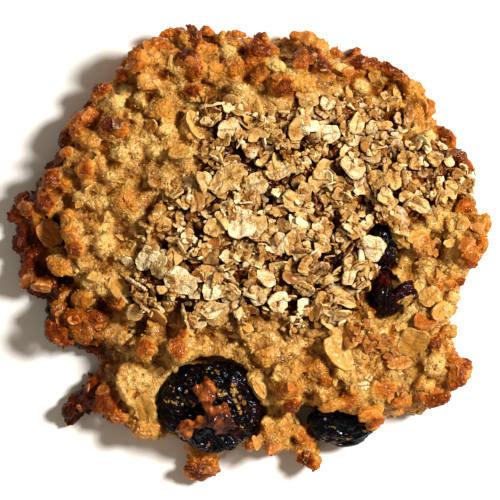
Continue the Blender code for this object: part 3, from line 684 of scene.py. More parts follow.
def surface_places(mesh, draw, count):
    """Random places on a mesh, even by area, the way it faces there, and the nearest corner."""
    points, triangles, normals = points_of(mesh), triangles_of(mesh), normals_of(mesh)
    corners = points[triangles]
    area = np.linalg.norm(np.cross(corners[:, 1] - corners[:, 0], corners[:, 2] - corners[:, 0]), axis=1)
    chosen = draw.choice(len(triangles), count, p=area / area.sum())
    share = draw.random((count, 2))
    over = share.sum(1) > 1
    share[over] = 1 - share[over]
    weight = np.stack([1 - share.sum(1), share[:, 0], share[:, 1]], axis=1)[:, :, None]
    place = (corners[chosen] * weight).sum(1)
    facing = (normals[triangles[chosen]] * weight).sum(1)
    corner = triangles[chosen, weight[:, :, 0].argmax(1)]
    return place, facing / np.linalg.norm(facing, axis=1, keepdims=True), corner


def frames_about(normals, draw, tilt):
    """Three perpendicular directions for each normal: spun at random and leaned by about tilt."""
    count = len(normals)
    spin = draw.normal(size=(count, 3))
    along = np.cross(normals, spin)
    along /= np.linalg.norm(along, axis=1, keepdims=True)
    across = np.cross(normals, along)
    lean = draw.normal(0, tilt, (count, 1))
    up = normals + lean * across
    up /= np.linalg.norm(up, axis=1, keepdims=True)
    across = np.cross(up, along)
    return along, across, up


def in_frames(bodies, frames):
    """The points of many bodies, each turned to its own three directions."""
    along, across, up = (way[:, None] for way in frames)
    return along * bodies[..., :1] + across * bodies[..., 1:2] + up * bodies[..., 2:]


def shifted(height, *steps):
    """The height map moved by whole cells."""
    return np.roll(height, steps, (0, 1))


def mean_around(height, rounds):
    """The height map after each cell has taken the mean of itself and its neighbours, time and again."""
    for _ in range(rounds):
        height = (height + shifted(height, 1, 0) + shifted(height, -1, 0) + shifted(height, 0, 1)
                  + shifted(height, 0, -1)) / 5
    return height


class Ground:
    """Height of what lies on the cookie so far, on a grid seen from above."""
    CELL = 0.35
    LOW = -56.0
    CELLS = 320
    EMPTY = -1.0
    SLOPE_EASING = 16
    HEIGHT_EASING = 60

    def __init__(self, meshes):
        self.height = np.full((self.CELLS, self.CELLS), self.EMPTY)
        for mesh in meshes:
            self.lift(*points_of(mesh).T)
        for _ in range(2):
            grown = np.max([shifted(self.height, a, b) for a in (-1, 0, 1) for b in (-1, 0, 1)], axis=0)
            self.height = np.where(self.height < self.EMPTY / 2, grown, self.height)
        smooth = mean_around(self.height, self.SLOPE_EASING)
        self.slope_x, self.slope_y = np.gradient(smooth, self.CELL)

    def cell(self, value):
        return np.clip(((np.asarray(value) - self.LOW) / self.CELL).astype(int), 0, self.CELLS - 1)

    def lift(self, x, y, z):
        np.maximum.at(self.height, (self.cell(x), self.cell(y)), z)

    def at(self, x, y):
        return self.height[self.cell(x), self.cell(y)]

    def eased_height(self, x, y):
        """Mean height round each place."""
        return mean_around(self.height, self.HEIGHT_EASING)[self.cell(x), self.cell(y)]

    def facing(self, x, y):
        i, j = self.cell(x), self.cell(y)
        normal = np.array([-self.slope_x[i, j], -self.slope_y[i, j], 1.0])
        return normal / np.linalg.norm(normal)


def turned_to(normal, spin, tilt, tilt_way):
    """A rotation whose Z is the normal leaned by tilt, and whose X is turned by spin about it."""
    base = Vector((0, 0, 1)).rotation_difference(Vector(normal)).to_matrix()
    lean = Euler((tilt * math.cos(tilt_way), tilt * math.sin(tilt_way), 0)).to_matrix()
    return np.array(base @ lean @ Euler((0, 0, spin)).to_matrix())


# Dough

def copy_of_node(name, new_name):
    """A copy of a CAD node's mesh, with its corners joined again."""
    shape = bmesh.new()
    shape.from_mesh(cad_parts[name].data)
    bmesh.ops.remove_doubles(shape, verts=shape.verts, dist=0.00001)
    mesh = bpy.data.meshes.new(new_name)
    shape.to_mesh(mesh)
    shape.free()
    return in_scene(new_name, mesh)


def skirted(body):
    """The body of a lump, widened below its middle so that it grows out of what it stands on."""
    widen = 1 + LUMP_SKIRT * smoothstep(0.3, -0.7, body[..., 2:])
    return body * np.concatenate([widen, widen, np.ones_like(widen)], axis=-1)


def lump_parts(lumps, place, facing, draw):
    """Points and triangles of a set of rough flattened lumps on a surface."""
    keep = spread(place, lumps.spacing)[:lumps.count]
    place, facing = place[keep], facing[keep]
    count = len(place)
    ball, triangles = sphere_parts(lumps.detail)
    frames = frames_about(facing, draw, lumps.tilt)
    half_sizes = [draw.uniform(*sizes, (count, 1, 1)) for sizes in (lumps.long, lumps.wide, lumps.thick)]
    spots = ball[None] + draw.uniform(-SHIFT, SHIFT, (count, 1, 3))
    body = skirted(ball[None] * (1 + LUMP_ROUGHNESS * waves(spots, draw, 2.4)[:, :, None]))
    rise = half_sizes[2] * draw.uniform(-0.5, 1, (count, 1, 1)) * lumps.rise
    body = in_frames(body * np.concatenate(half_sizes, -1), frames)
    return repeated(place[:, None] + facing[:, None] * rise + body, triangles)


def clump_parts(clumps, ground, draw):
    """Points and triangles of the clods that stand out."""
    ball, triangles = sphere_parts(3)
    points = []
    for clump in clumps:
        thick = CLUMP_THICKNESS * clump.wide
        spots = ball + draw.uniform(-SHIFT, SHIFT, 3)
        rough = 1 + LUMP_ROUGHNESS * waves(spots, draw, 1.6) + 0.4 * LUMP_ROUGHNESS * waves(spots, draw, 0.7)
        body = skirted(ball * rough[:, None]) * [clump.long, clump.wide, thick]
        rotation = turned_to(ground.facing(clump.x, clump.y), math.radians(clump.turn), 0, 0)
        top = max(ground.at(clump.x * pull, clump.y * pull) for pull in (1, 0.97, 0.94))
        points.append(body @ rotation.T + [clump.x, clump.y, top + CLUMP_RISE - thick])
    return repeated(np.array(points), triangles)


def make_core():
    """The cookie's solid, a little smaller, broken into clods and with its heap eased, and its points."""
    core = copy_of_node("cookie", "core")
    fuse(core, CORE_VOXEL)
    points, edges = points_of(core.data), edges_of(core.data)
    depth_inside = inside_heap(points[:, 0], points[:, 1])
    soft = eased(points, edges, HEAP_EASING)
    share = smoothstep(-1, 3, depth_inside)[:, None]
    rise = np.full(len(points), -CORE_INSET)
    for clods in CORE_CLODS:
        rise += clod_rise(points, clods)
    inset = eased(points, edges, 2) + normals_of(core.data) * rise[:, None]
    soft[:, 2] += clod_rise(points, HEAP_CLODS) * smoothstep(0, 4, depth_inside) - HEAP_INSET
    points = eased(inset, edges, 1) * (1 - share) + soft * share
    move_points(core.data, points)
    return core, points


def sink_pits(core, points, pits):
    """Sinks the pits into the core's upper side."""
    for pit in pits:
        inner = smoothstep(1.3, 0.3, oval_level(points[:, 0], points[:, 1], pit))
        points[:, 2] -= pit.value * inner * smoothstep(0.2, 0.8, normals_of(core.data)[:, 2])
    move_points(core.data, points)


def cover_core(core, points, clumps, pits, raisins, draw):
    """The core and all the lumps that stand on it, as one object of loose parts."""
    place, facing, _ = surface_places(core.data, draw, LUMP_PLACES)
    x, y, z = place.T
    free = (z > LOWEST_LUMP) & (facing[:, 2] > LUMP_OVERHANG) & (raisin_level(x, y, PEBBLE_CLEARANCE) > 1)
    free &= oval_level(x, y, RAISIN_GAP) >= 1
    roomy = free & (raisin_level(x, y, FLAKE_CLEARANCE) > 1)
    for oval in clumps + pits:
        roomy &= oval_level(x, y, oval) > 1
    cover = Pile()
    cover.add(points, triangles_of(core.data))
    cover.add(*clump_parts(clumps, Ground([core.data] + raisins), draw))
    for lumps, usable in ((COATED_FLAKES, roomy), (KNOBS, roomy), (PEBBLES, free)):
        order = draw.permutation(np.flatnonzero(usable))
        cover.add(*lump_parts(lumps, place[order], facing[order], draw))
    return cover.build("dough")


def fill_holes(dough, pits):
    """Fills the small holes between the lumps in part, and gives the dough's points and normals."""
    points, edges, outward = points_of(dough.data), edges_of(dough.data), normals_of(dough.data)
    sunk = np.maximum(((eased(points, edges, HOLE_EASING) - points) * outward).sum(1) - HOLE_START, 0)
    sunk *= raisin_level(points[:, 0], points[:, 1], 0.6) > 1
    for pit in pits:
        sunk *= smoothstep(0.8, 1.4, oval_level(points[:, 0], points[:, 1], pit))
    return points + outward * HOLE_FILL * sunk[:, None], outward


def make_dough(clumps, pits, raisins):
    """The form of the cookie's solid, covered in fused lumps and grains, cut flat below."""
    core, points = make_core()
    sink_pits(core, points, pits)
    draw = np.random.default_rng(DOUGH_SEED)
    dough = cover_core(core, points, clumps, pits, raisins, draw)
    bpy.data.objects.remove(core)
    fuse(dough, DOUGH_VOXEL)
    largest_skin(dough)
    move_points(dough.data, eased(points_of(dough.data), edges_of(dough.data), DOUGH_EASING))
    points, outward = fill_holes(dough, pits)
    rise = clod_rise(points, SKIN_CLODS)
    for length, depth in RELIEF:
        rise += waves(points, draw, length, 26) * depth
    move_points(dough.data, points + outward * rise[:, None])
    cut_flat(dough)
    decimate_to(dough, DOUGH_TRIANGLES)
    browning_and_painted_shade(dough, draw, clumps, pits)
    return dough


def cut_flat(obj):
    """Cuts an object flat where it stands."""
    shape = bmesh.new()
    bmesh.ops.create_cube(shape, size=TRAY_SIZE * MM)
    bmesh.ops.translate(shape, verts=shape.verts, vec=(0, 0, -TRAY_SIZE * MM / 2))
    mesh = bpy.data.meshes.new("tray")
    shape.to_mesh(mesh)
    shape.free()
    tray = in_scene("tray", mesh)
    cut = obj.modifiers.new("cut", "BOOLEAN")
    cut.operation = "DIFFERENCE"
    cut.solver = "MANIFOLD"
    cut.object = tray
    apply_modifiers(obj)
    bpy.data.objects.remove(tray)
    largest_skin(obj)


def rim_share(x, y):
    """0 inside the cookie, rising to 1 at its rim, which is found anew in each sector."""
    sector = ((np.arctan2(y, x) + math.pi) / math.tau * RIM_SECTORS).astype(int) % RIM_SECTORS
    reach = np.zeros(RIM_SECTORS)
    np.maximum.at(reach, sector, np.hypot(x, y))
    return smoothstep(RIM_START, 1.0, np.hypot(x, y) / reach[sector])


def browning_and_painted_shade(dough, draw, clumps, pits):
    """Writes how browned and how pale the dough is at each point, and where shade is painted on it."""
    mesh = dough.data
    points, edges, outward = points_of(mesh), edges_of(mesh), normals_of(mesh)
    fine = ((points - eased(points, edges, 8)) * outward).sum(1)
    broad = ((points - eased(points, edges, 60)) * outward).sum(1)
    x, y, z = points.T
    rim = rim_share(x, y)
    patches = waves(points, draw, 9, 20)
    raised = np.clip(broad / broad.std(), -1.5, 2.5)
    own = clod_heights(points, CORE_CLODS[1])[1]
    small = clod_heights(points, SKIN_CLODS)[1]
    left_edge = smoothstep(*LEFT_EDGE_X, x) * smoothstep(*LEFT_EDGE_Z, z)
    outer_left = smoothstep(*OUTER_LEFT_X, x) * smoothstep(*OUTER_LEFT_Y, y)
    lower_left = smoothstep(*LOWER_LEFT_X, x) * smoothstep(*LOWER_LEFT_Y, y)
    toast = PLAIN_BROWN + RIM_BROWN * rim + 0.1 * patches + (0.08 + 0.05 * rim) * raised
    toast += CLOD_BROWN * (own - 0.5)
    # Down the left edge the brown is partly painted shade.
    toast += LEFT_BROWN_AND_SHADE * left_edge + FOOT_BROWN * smoothstep(*FOOT_Z, z) + 0.05 * waves(points, draw, 3, 20)
    tint = 0.5 + 0.5 * (own - 0.5) + 0.5 * (small - 0.5) + 0.25 * waves(points, draw, 4.2, 20)
    # Painted shade in the dough's hollows, from how far each point lies below its eased neighbours.
    hollow = np.clip(0.05 - fine / fine.std() * 0.26 - broad / broad.std() * 0.42, 0, 1)
    shade = SHADED_TIER * lower_left + SHADED_SKIRT * left_edge * (0.5 + 0.5 * smoothstep(*UPPER_LEFT_Y, y))
    for clump in clumps:
        near = smoothstep(1.5, 0.6, oval_level(x, y, clump))
        toast += near * (clump.value + 0.04 * raised - toast)
        tint += near * ((0.95 if clump.value < PALE_CLUMP else 0.5) - tint)
        hollow -= 0.25 * near
    # On the outer left the added brown is partly painted shade of the lower tier.
    toast += OUTER_BROWN_AND_SHADE * outer_left
    hollow = np.clip(hollow + shade, 0, 2)
    # Painted shade in the pits, darker the deeper they are.
    for pit in pits:
        hollow = np.maximum(hollow, pit.value * smoothstep(1.3, 0.4, oval_level(x, y, pit)))
    heap = smoothstep(-1, 4, inside_heap(x, y))
    set_values(mesh, "toast", np.clip(toast + HEAP_BROWN * heap, 0, 1))
    set_values(mesh, "hollow", np.maximum(np.clip(hollow, 0, 3), HEAP_SHADE * heap))
    set_values(mesh, "tint", np.clip(tint, 0, 1))
    shade_smooth(dough)


def make_grains(dough):
    """Small grains and crumbs that stand on the dough's skin, as brown as the dough below them and with most
    of its painted shade.
    """
    draw = np.random.default_rng(GRAIN_SEED)
    place, facing, corner = surface_places(dough.data, draw, GRAIN_PLACES)
    x, y, z = place.T
    keep = (z > LOWEST_GRAIN) & (facing[:, 2] > GRAIN_OVERHANG) & (inside_heap(x, y) < 1)
    keep &= raisin_level(x, y, 0.0) > 1
    place, facing, corner = (rows[keep][:SKIN_GRAINS] for rows in (place, facing, corner))
    count = len(place)
    low, high = SKIN_GRAIN_RADIUS
    radius = low + (high - low) * draw.random((count, 1, 1)) ** 1.8
    ball, triangles = sphere_parts(1)
    frames = frames_about(facing, draw, 0.8)
    body = ball[None] * draw.uniform(0.65, 1.25, (count, len(ball), 1))
    body = body * draw.uniform(0.7, 1.2, (count, 1, 3))
    middle = place[:, None] + facing[:, None] * radius * draw.uniform(-0.3, 0.5, (count, 1, 1))
    points = middle + radius * in_frames(body, frames)
    values = {
        "toast": values_of(dough.data, "toast")[corner] + draw.normal(0, 0.06, count),
        "hollow": values_of(dough.data, "hollow")[corner] * 0.8,
        "tint": draw.random(count),
    }
    values = {label: np.clip(np.repeat(numbers, len(ball)), 0, 1) for label, numbers in values.items()}
    grains = triangle_object("dough_grains", *repeated(points, triangles), values)
    shade_smooth(grains, GRAIN_SHARP)
    return grains


# Oat flakes

def sheet_grid(columns, rows):
    """A disc as a grid: places in a circle of radius 1, top and bottom, and the triangles of its skin."""
    u, v = np.meshgrid(np.linspace(-1, 1, columns), np.linspace(-1, 1, rows), indexing="ij")
    disc = np.stack([u * np.sqrt(1 - v * v / 2), v * np.sqrt(1 - u * u / 2)], axis=-1).reshape(-1, 2)
    number = np.arange(columns * rows).reshape(columns, rows)
    a, b, c, d = number[:-1, :-1], number[1:, :-1], number[1:, 1:], number[:-1, 1:]
    top = np.concatenate([np.stack([a, b, c], -1).reshape(-1, 3), np.stack([a, c, d], -1).reshape(-1, 3)])
    bottom = top[:, ::-1] + columns * rows
    rim = np.concatenate([number[:, 0], number[-1, 1:], number[-2::-1, -1], number[0, -2:0:-1]])
    after = np.roll(rim, -1)
    low, low_after = rim + columns * rows, after + columns * rows
    side = np.concatenate([np.stack([rim, low, low_after], -1), np.stack([rim, low_after, after], -1)])
    return disc, np.concatenate([top, bottom, side])


GRIDS = {
    kind: sheet_grid(columns, rows)
    for kind, columns, rows in (("hero", 23, 15), ("flake", 11, 8), ("chip", 6, 5), ("bit", 5, 4))
}


def any_turn(draw):
    return draw.uniform(0, math.tau)


def flake_parts(draw, grid, half_long, half_wide, thick, broken=0, curl=0.12, crease=0.0, ribs=0.0,
                rough=1.0, ragged=1.0):
    """A rolled oat flake in its own frame: its points, triangles, edge nearness and crease."""
    disc, triangles = GRIDS[grid]
    angle = np.arctan2(disc[:, 1], disc[:, 0])
    from_middle = np.hypot(disc[:, 0], disc[:, 1])
    square = 2 + ragged * draw.uniform(0, 1.4)
    reach = (abs(np.cos(angle)) ** square + abs(np.sin(angle)) ** square) ** (-1 / square)
    for lobes, depth in FLAKE_LOBES:
        reach *= 1 + ragged * depth * np.sin(lobes * angle + any_turn(draw))
    for _ in range(broken):
        way, far = any_turn(draw), draw.uniform(0.3, 0.85)
        facing = np.cos(angle - way)
        limit = np.where(facing > 0.05, far / np.maximum(facing, 0.05), 9)
        reach = np.minimum(reach, limit * (1 + 0.05 * np.sin(11 * angle + way)))
    flat = disc * reach[:, None] * [half_long, half_wide]
    x, y = flat.T
    edge = smoothstep(0.55, 1.0, from_middle)
    dish = curl * (y * y / half_wide + 0.5 * x * x / half_long) * draw.choice([1, 1, -1])
    twist = draw.normal(0, 0.06) * x * y
    bend = dish + twist
    relief = rough * (0.15 * waves(flat, draw, 2.2, 6) + 0.08 * waves(flat, draw, 0.9, 8))
    relief += ribs * np.sin(x * math.tau / RIB_SPACING + 0.6 * np.sin(y * 2))
    line = np.exp(-((y - 0.15 * np.sin(x * 1.3)) / (0.07 * half_wide + 0.06)) ** 2)
    line *= smoothstep(1.0, 0.7, abs(x) / half_long)
    half = thick / 2 * (1 - 0.25 * edge)
    top = bend + half + relief - crease * line
    bottom = bend - half + 0.5 * relief
    points = np.concatenate([np.column_stack([flat, top]), np.column_stack([flat * 1.02, bottom])])
    return points, triangles, np.tile(edge, 2), np.tile(line * (crease > 0), 2)


def laid(ground, points, x, y, turns, sink, share=72):
    """Turns a piece and lays it on the ground so that it rests on most of what lies below it."""
    world = points @ turned_to(ground.facing(x, y), *turns).T + [x, y, 0]
    gap = ground.at(world[:, 0], world[:, 1]) - world[:, 2]
    world[:, 2] += np.percentile(gap, share) - sink
    ground.lift(*world.T)
    return world


def heap_places(draw, count, margin=0.0):
    """Random places in the heap, fewer towards its edge and in its thin patches."""
    found = []
    while len(found) < count:
        x, y = draw.uniform(*HEAP_X, HEAP_BATCH), draw.uniform(*HEAP_Y, HEAP_BATCH)
        spots = np.stack([x, y], 1)
        inside = inside_heap(x, y) + 1.6 * waves(spots, np.random.default_rng(HEAP_EDGE_SEED), 8)
        chance = smoothstep(-1.2 - margin, 2.4, inside)
        thin = waves(spots, np.random.default_rng(HEAP_PATCH_SEED), 7)
        chance *= 0.25 + 0.75 * smoothstep(-0.35, 0.35, thin)
        keep = (draw.random(HEAP_BATCH) < chance) & (raisin_level(x, y, 0.4) > 1)
        found += list(zip(x[keep], y[keep]))
    return found[:count]


def knobbly(ball, draw, depth):
    """The points of a ball, made uneven."""
    return ball * (1 + depth * waves(ball + draw.uniform(-SHIFT, SHIFT, 3), draw, 1.7, 8)[:, None])


def make_oats(ground):
    """Crumbs and broken flakes heaped on the cookie, with whole flakes on top."""
    draw = np.random.default_rng(OAT_SEED)
    crumbs, chips, whole = Pile(), Pile(), Pile()
    ball, ball_triangles = sphere_parts(2)

    def crumb(x, y, size):
        if ground.at(x, y) < LOWEST_OAT:
            return
        body = knobbly(ball, draw, 0.45) * size * draw.uniform(0.7, 1.2, 3)
        turns = any_turn(draw), draw.normal(0, 0.6), any_turn(draw)
        world = laid(ground, body, x, y, turns, 0.25 * size)
        crumbs.add(world, ball_triangles, tint=draw.beta(2, 2), toast=draw.beta(1.3, 5), edge=0.0, crease=0.0)

    def chip(x, y, pile, grid, half_long, tilt, broken, pale, crease=0.0, brown=0.0):
        if ground.at(x, y) < LOWEST_OAT:
            return
        half_wide = half_long * draw.uniform(0.6, 0.95)
        thick = draw.uniform(*CHIP_THICKNESS)
        points, triangles, edge, line = flake_parts(
            draw, grid, half_long, half_wide, thick, broken, draw.uniform(0.0, 0.3), crease,
            0.07 if draw.random() < 0.2 else 0.0, CHIP_ROUGHNESS)
        turns = any_turn(draw), tilt, any_turn(draw)
        world = laid(ground, points, x, y, turns, draw.uniform(0.1, 0.5))
        pile.add(world, triangles, tint=pale, toast=max(brown, draw.beta(1.2, 6)), edge=edge, crease=line)

    def breaks(low=1, high=4):
        return int(draw.integers(low, high))

    for x, y, radius, count in OAT_CLUSTERS:
        for _ in range(count):
            way, far = any_turn(draw), radius * math.sqrt(draw.random())
            chip(x + far * math.cos(way), y + far * math.sin(way), chips, "chip", draw.uniform(*CLUSTER_HALF),
                 draw.normal(0, 0.7), breaks(), draw.uniform(0.2, 0.6), 0.0, draw.uniform(0.5, 0.9))
    for _ in range(HEAP_LAYERS):
        for x, y in heap_places(draw, CRUMBS_A_LAYER, 1.5):
            crumb(x, y, draw.uniform(*CRUMB_RADIUS))
        for x, y in heap_places(draw, CHIPS_A_LAYER):
            lean = draw.normal(0, 0.5) if draw.random() > STANDING_CHIPS else draw.uniform(0.8, 1.5)
            chip(x, y, chips, "chip", draw.uniform(*CHIP_HALF), lean, breaks(), draw.beta(1.5, 1.3))
        for x, y in heap_places(draw, BITS_A_LAYER, 0.5):
            chip(x, y, crumbs, "bit", draw.uniform(*BIT_HALF), draw.normal(0, 0.8), breaks(),
                 draw.beta(1.5, 1.2))
        for x, y in heap_places(draw, FLAKES_A_LAYER):
            chip(x, y, whole, "flake", draw.uniform(*FLAKE_HALF), draw.normal(0, 0.5), breaks(0, 3),
                 draw.beta(2, 1.4), 0.2 if draw.random() < 0.5 else 0.0)
    for hero in (Hero(*row) for row in HEROES):
        points, triangles, edge, line = flake_parts(
            draw, "hero", hero.length / 2, hero.width / 2, HERO_THICKNESS, breaks(0, 2),
            draw.uniform(0.02, 0.16), 0.3, hero.ribs)
        turns = math.radians(hero.turn), math.radians(hero.lean), any_turn(draw)
        world = laid(ground, points, hero.x, hero.y, turns, 0.3)
        whole.add(world, triangles, tint=hero.pale, toast=draw.beta(1.2, 8), edge=edge, crease=line)
    return [pile.build(name, OAT_SHARP, ground)
            for name, pile in (("oat_chips", chips), ("oat_flakes", whole), ("oat_crumbs", crumbs))]


def make_soaked(dough, ground):
    """Flakes and bits of oat that baked into the dough's surface."""
    draw = np.random.default_rng(SOAKED_SEED)
    pile = Pile()
    place, facing, corner = surface_places(dough.data, draw, SOAKED_PLACES)
    x, y, z = place.T
    keep = (z > LOWEST_SOAKED) & (facing[:, 2] > STEEPEST_SOAKED)
    keep &= (inside_heap(x, y) < 1.5) & (raisin_level(x, y, 0.3) > 1)
    out = 1 + RIM_REACH / np.hypot(x, y)
    keep &= ground.at(x * out, y * out) > z - RIM_DROP
    place, facing, corner = place[keep], facing[keep], corner[keep]
    chosen = spread(place, SOAKED_SPACING)[:SOAKED_COUNT]
    brown = values_of(dough.data, "toast")[corner]
    for spot, normal, toast in zip(place[chosen], facing[chosen], brown[chosen]):
        half_long = draw.uniform(*SOAKED_HALF)
        points, triangles, edge, _ = flake_parts(
            draw, "flake", half_long, half_long * draw.uniform(0.5, 0.85), draw.uniform(*SOAKED_THICKNESS),
            int(draw.integers(2, 5)), draw.uniform(0, 0.3))
        rotation = turned_to(normal, any_turn(draw), draw.normal(0, 0.3), any_turn(draw))
        world = points @ rotation.T + spot + normal * draw.uniform(-0.25, 0.15)
        pile.add(world, triangles, tint=draw.beta(2.4, 1.6), toast=0.8 * toast, edge=edge, crease=0.0)
    for x, y, length, width, turn, toast in SOAKED_HEROES:
        points, triangles, edge, line = flake_parts(
            draw, "hero", length / 2, width / 2, HERO_THICKNESS, 0, 0.08, 0.2, 0.03, 0.6, 0.5)
        turns = math.radians(turn), draw.normal(0, 0.12), any_turn(draw)
        world = laid(ground, points, x, y, turns, 0.25, 90)
        pile.add(world, triangles, tint=draw.uniform(0.35, 0.75), toast=toast, edge=edge, crease=0.5 * line)
    return pile.build("soaked_oats", SOAKED_SHARP)


# Raisins

def crease_depth(crease, spot, shift):
    level = abs(noise.noise(spot / crease.spacing + shift))
    return crease.steepness * max(crease.level - level, 0)


def folds_and_lines(raisin, spots):
    """How deep the folds and the fine lines are at each spot of a raisin's skin."""
    folds, lines = np.zeros(len(spots)), np.zeros(len(spots))
    shift_a, shift_b = Vector((raisin.x, raisin.y, 0)), Vector((0, -raisin.y, -raisin.x))
    way = math.radians(raisin.fine_turn - raisin.turn)
    along, across = Vector((math.cos(way), math.sin(way), 0)), Vector((-math.sin(way), math.cos(way), 0))
    for number, spot in enumerate(spots):
        spot = Vector(spot)
        folds[number] = 0.4 * crease_depth(WRINKLES, spot / raisin.wrinkle, shift_a)
        folds[number] += crease_depth(FOLDS, spot / raisin.wrinkle, shift_b)
        spot += noise.noise_vector(spot / 2.4) * 0.8
        long = Vector((spot.dot(along) / FINE_STRETCH, spot.dot(across), spot.z)) / raisin.fine_size
        lines[number] = max(1 - abs(noise.noise(long + shift_a)) / FINE_LEVEL, 0)
        lines[number] += 0.3 * max(1 - abs(noise.noise(long * 2.1 + shift_b)) / FINE_LEVEL, 0)
    return folds, lines


def smeared(x, y):
    """How thickly crumbs are smeared at each place on the raisins, 0 to 1."""
    smear = np.zeros(len(x))
    for patch in RAISIN_CRUMBS:
        oval = Oval(patch.x, patch.y, patch.long / 2, patch.wide / 2, patch.turn)
        dense = min(1, SMEAR_SHARE * patch.count / (patch.long * patch.wide))
        smear = np.maximum(smear, dense * smoothstep(1.4, 0.5, oval_level(x, y, oval)))
    return smear


def make_raisin(name, raisin):
    """The raisin of a solid, with its notch and hollows, its folds, and fine lines along its skin."""
    ball, triangles = sphere_parts(raisin.detail)
    spots = ball * [raisin.half_x, raisin.half_y, raisin.half_z]
    folds, lines = folds_and_lines(raisin, spots)
    notch = np.maximum(1 - abs(ball[:, 0]) / NOTCH_WIDTH, 0)
    spots[:, 1] -= raisin.notch * raisin.half_y * np.maximum(ball[:, 1], 0) * notch
    spots[:, 0] *= 1 - raisin.taper * np.maximum(-ball[:, 1], 0)
    spots -= ball * (folds * raisin.wrinkle * CREASE_DEPTH + lines * raisin.fine_depth - SWELLING)[:, None]
    tilt = Euler((math.radians(raisin.tilt_x), math.radians(raisin.tilt_y), math.radians(raisin.turn)))
    world = spots @ np.array(tilt.to_matrix()).T + [raisin.x, raisin.y, raisin.z]
    for owner, x, y, radius, sink in RAISIN_HOLLOWS:
        if owner == name:
            inner = smoothstep(1.2, 0.2, np.hypot(world[:, 0] - x, world[:, 1] - y) / radius)
            world[:, 2] -= sink * inner * (world[:, 2] > raisin.z)
    # The depth of the folds and fine lines is kept for painted shade in them.
    made = triangle_object(name + "_skin", world, triangles, {
        "fold_shade": np.clip(folds + lines, 0, 1),
        "smear": smeared(world[:, 0], world[:, 1]),
        "red": np.full(len(world), raisin.red),
    })
    shade_smooth(made)
    return made


def make_raisin_crumbs(ground):
    """Crumbs of dough that stick to the raisins."""
    draw = np.random.default_rng(RAISIN_CRUMB_SEED)
    pile = Pile()
    ball, triangles = sphere_parts(2)
    for patch in RAISIN_CRUMBS:
        turn = math.radians(patch.turn)
        for _ in range(int(CRUMB_SHARE * patch.count)):
            along, across = draw.uniform(-0.5, 0.5, 2) * [patch.long, patch.wide]
            x = patch.x + along * math.cos(turn) - across * math.sin(turn)
            y = patch.y + along * math.sin(turn) + across * math.cos(turn)
            if raisin_level(x, y, -0.6) > 1:
                continue
            body = knobbly(ball, draw, 0.35) * draw.uniform(patch.low, patch.high)
            body = body * [draw.uniform(0.6, 1.5), 0.8, 0.4]
            world = laid(ground, body, x, y, (draw.normal(turn, 0.7), draw.normal(0, 0.3), 0), 0.15)
            # Each crumb gets a random amount of painted shade.
            pile.add(world, triangles, tint=draw.beta(2, 2), toast=draw.uniform(0.0, 0.4),
                     hollow=draw.uniform(0.1, 0.8))
    return pile.build("raisin_crumbs", CRUMB_SHARP)


def make_scrap():
    """The browned scrap of dough on the front raisin."""
    scrap = copy_of_node("dough_scrap", "browned_scrap")
    fuse(scrap, SCRAP_VOXEL)
    points, edges = points_of(scrap.data), edges_of(scrap.data)
    points = eased(points, edges, 6)
    move_points(scrap.data, points)
    draw = np.random.default_rng(SCRAP_SEED)
    outward = normals_of(scrap.data)
    for length, depth in SCRAP_WAVES:
        points += outward * (waves(points, draw, length, 20) * depth)[:, None]
    move_points(scrap.data, points)
    decimate_to(scrap, SCRAP_TRIANGLES)
    points = points_of(scrap.data)
    lower = smoothstep(*SCRAP_LOWER_Y, points[:, 1] + 0.6 * waves(points, draw, 3.0))
    lower *= smoothstep(*SCRAP_LOWER_X, points[:, 0])
    set_values(scrap.data, "toast", np.clip(0.34 + 0.52 * lower + 0.25 * waves(points, draw, 2.4), 0, 1))
    shade_smooth(scrap)
    return scrap


# Materials

# Tones as red, green and blue from 0 to 255, and scales of them, each tone after its place from 0 to 1.
DOUGH_TONES = (
    (0.0, 226, 186, 112), (0.3, 218, 164, 86), (0.45, 218, 156, 70), (0.56, 218, 144, 54),
    (0.66, 200, 116, 32), (0.76, 174, 92, 22), (0.86, 144, 66, 14), (1.0, 104, 40, 10),
)
PALE_CRUMB = (240, 206, 134)
GREY_CRUMB = (150, 106, 54)
PALE_GRANULE = (252, 222, 156)
DARK_GRANULE = (120, 70, 24)
# Painted shade along the cracks.
CRACK_SHADE_TONE = (176, 116, 56)
DOUGH_DUST = ((0.38, 206, 178, 130), (0.54, 255, 255, 255))
# Painted shade: in hollows, deeper on the shaded left and under the heap, and darkest in the pits.
HOLLOW_SHADE_TONE = (188, 144, 46)
DEEP_SHADE_TONE = (150, 120, 84)
PIT_SHADE_TONE = (70, 40, 30)
DOUGH_SPECK = (40, 20, 10)
SCRAP_TONES = ((0.0, 190, 116, 48), (0.35, 142, 74, 28), (0.65, 96, 46, 22), (1.0, 62, 28, 22))
MOIST_OAT_TONES = ((0.0, 176, 118, 44), (0.5, 210, 158, 76), (1.0, 234, 190, 112))
DRY_OAT_TONES = ((0.0, 136, 86, 32), (0.3, 184, 134, 68), (0.65, 226, 188, 120), (1.0, 255, 240, 200))
MOIST_TOAST = (196, 112, 40)
BURNT_TOAST = (80, 34, 14)
DRY_TOAST = (190, 108, 30)
CINNAMON = (160, 104, 44)
# Paler oat edge with a painted rim highlight.
CREASE_TONE = (104, 58, 20)
OAT_EDGE_HIGHLIGHT = (248, 224, 172)
OAT_DUST = ((0.38, 200, 166, 112), (0.54, 255, 255, 255))
OAT_SPECK = (70, 34, 14)
# Painted shade between the oats.
OAT_DEPTH_SHADE = (104, 54, 10)
RAISIN_TONES = ((0.4, 5, 3, 4), (0.56, 16, 6, 7), (0.72, 58, 13, 16), (0.9, 104, 22, 26))
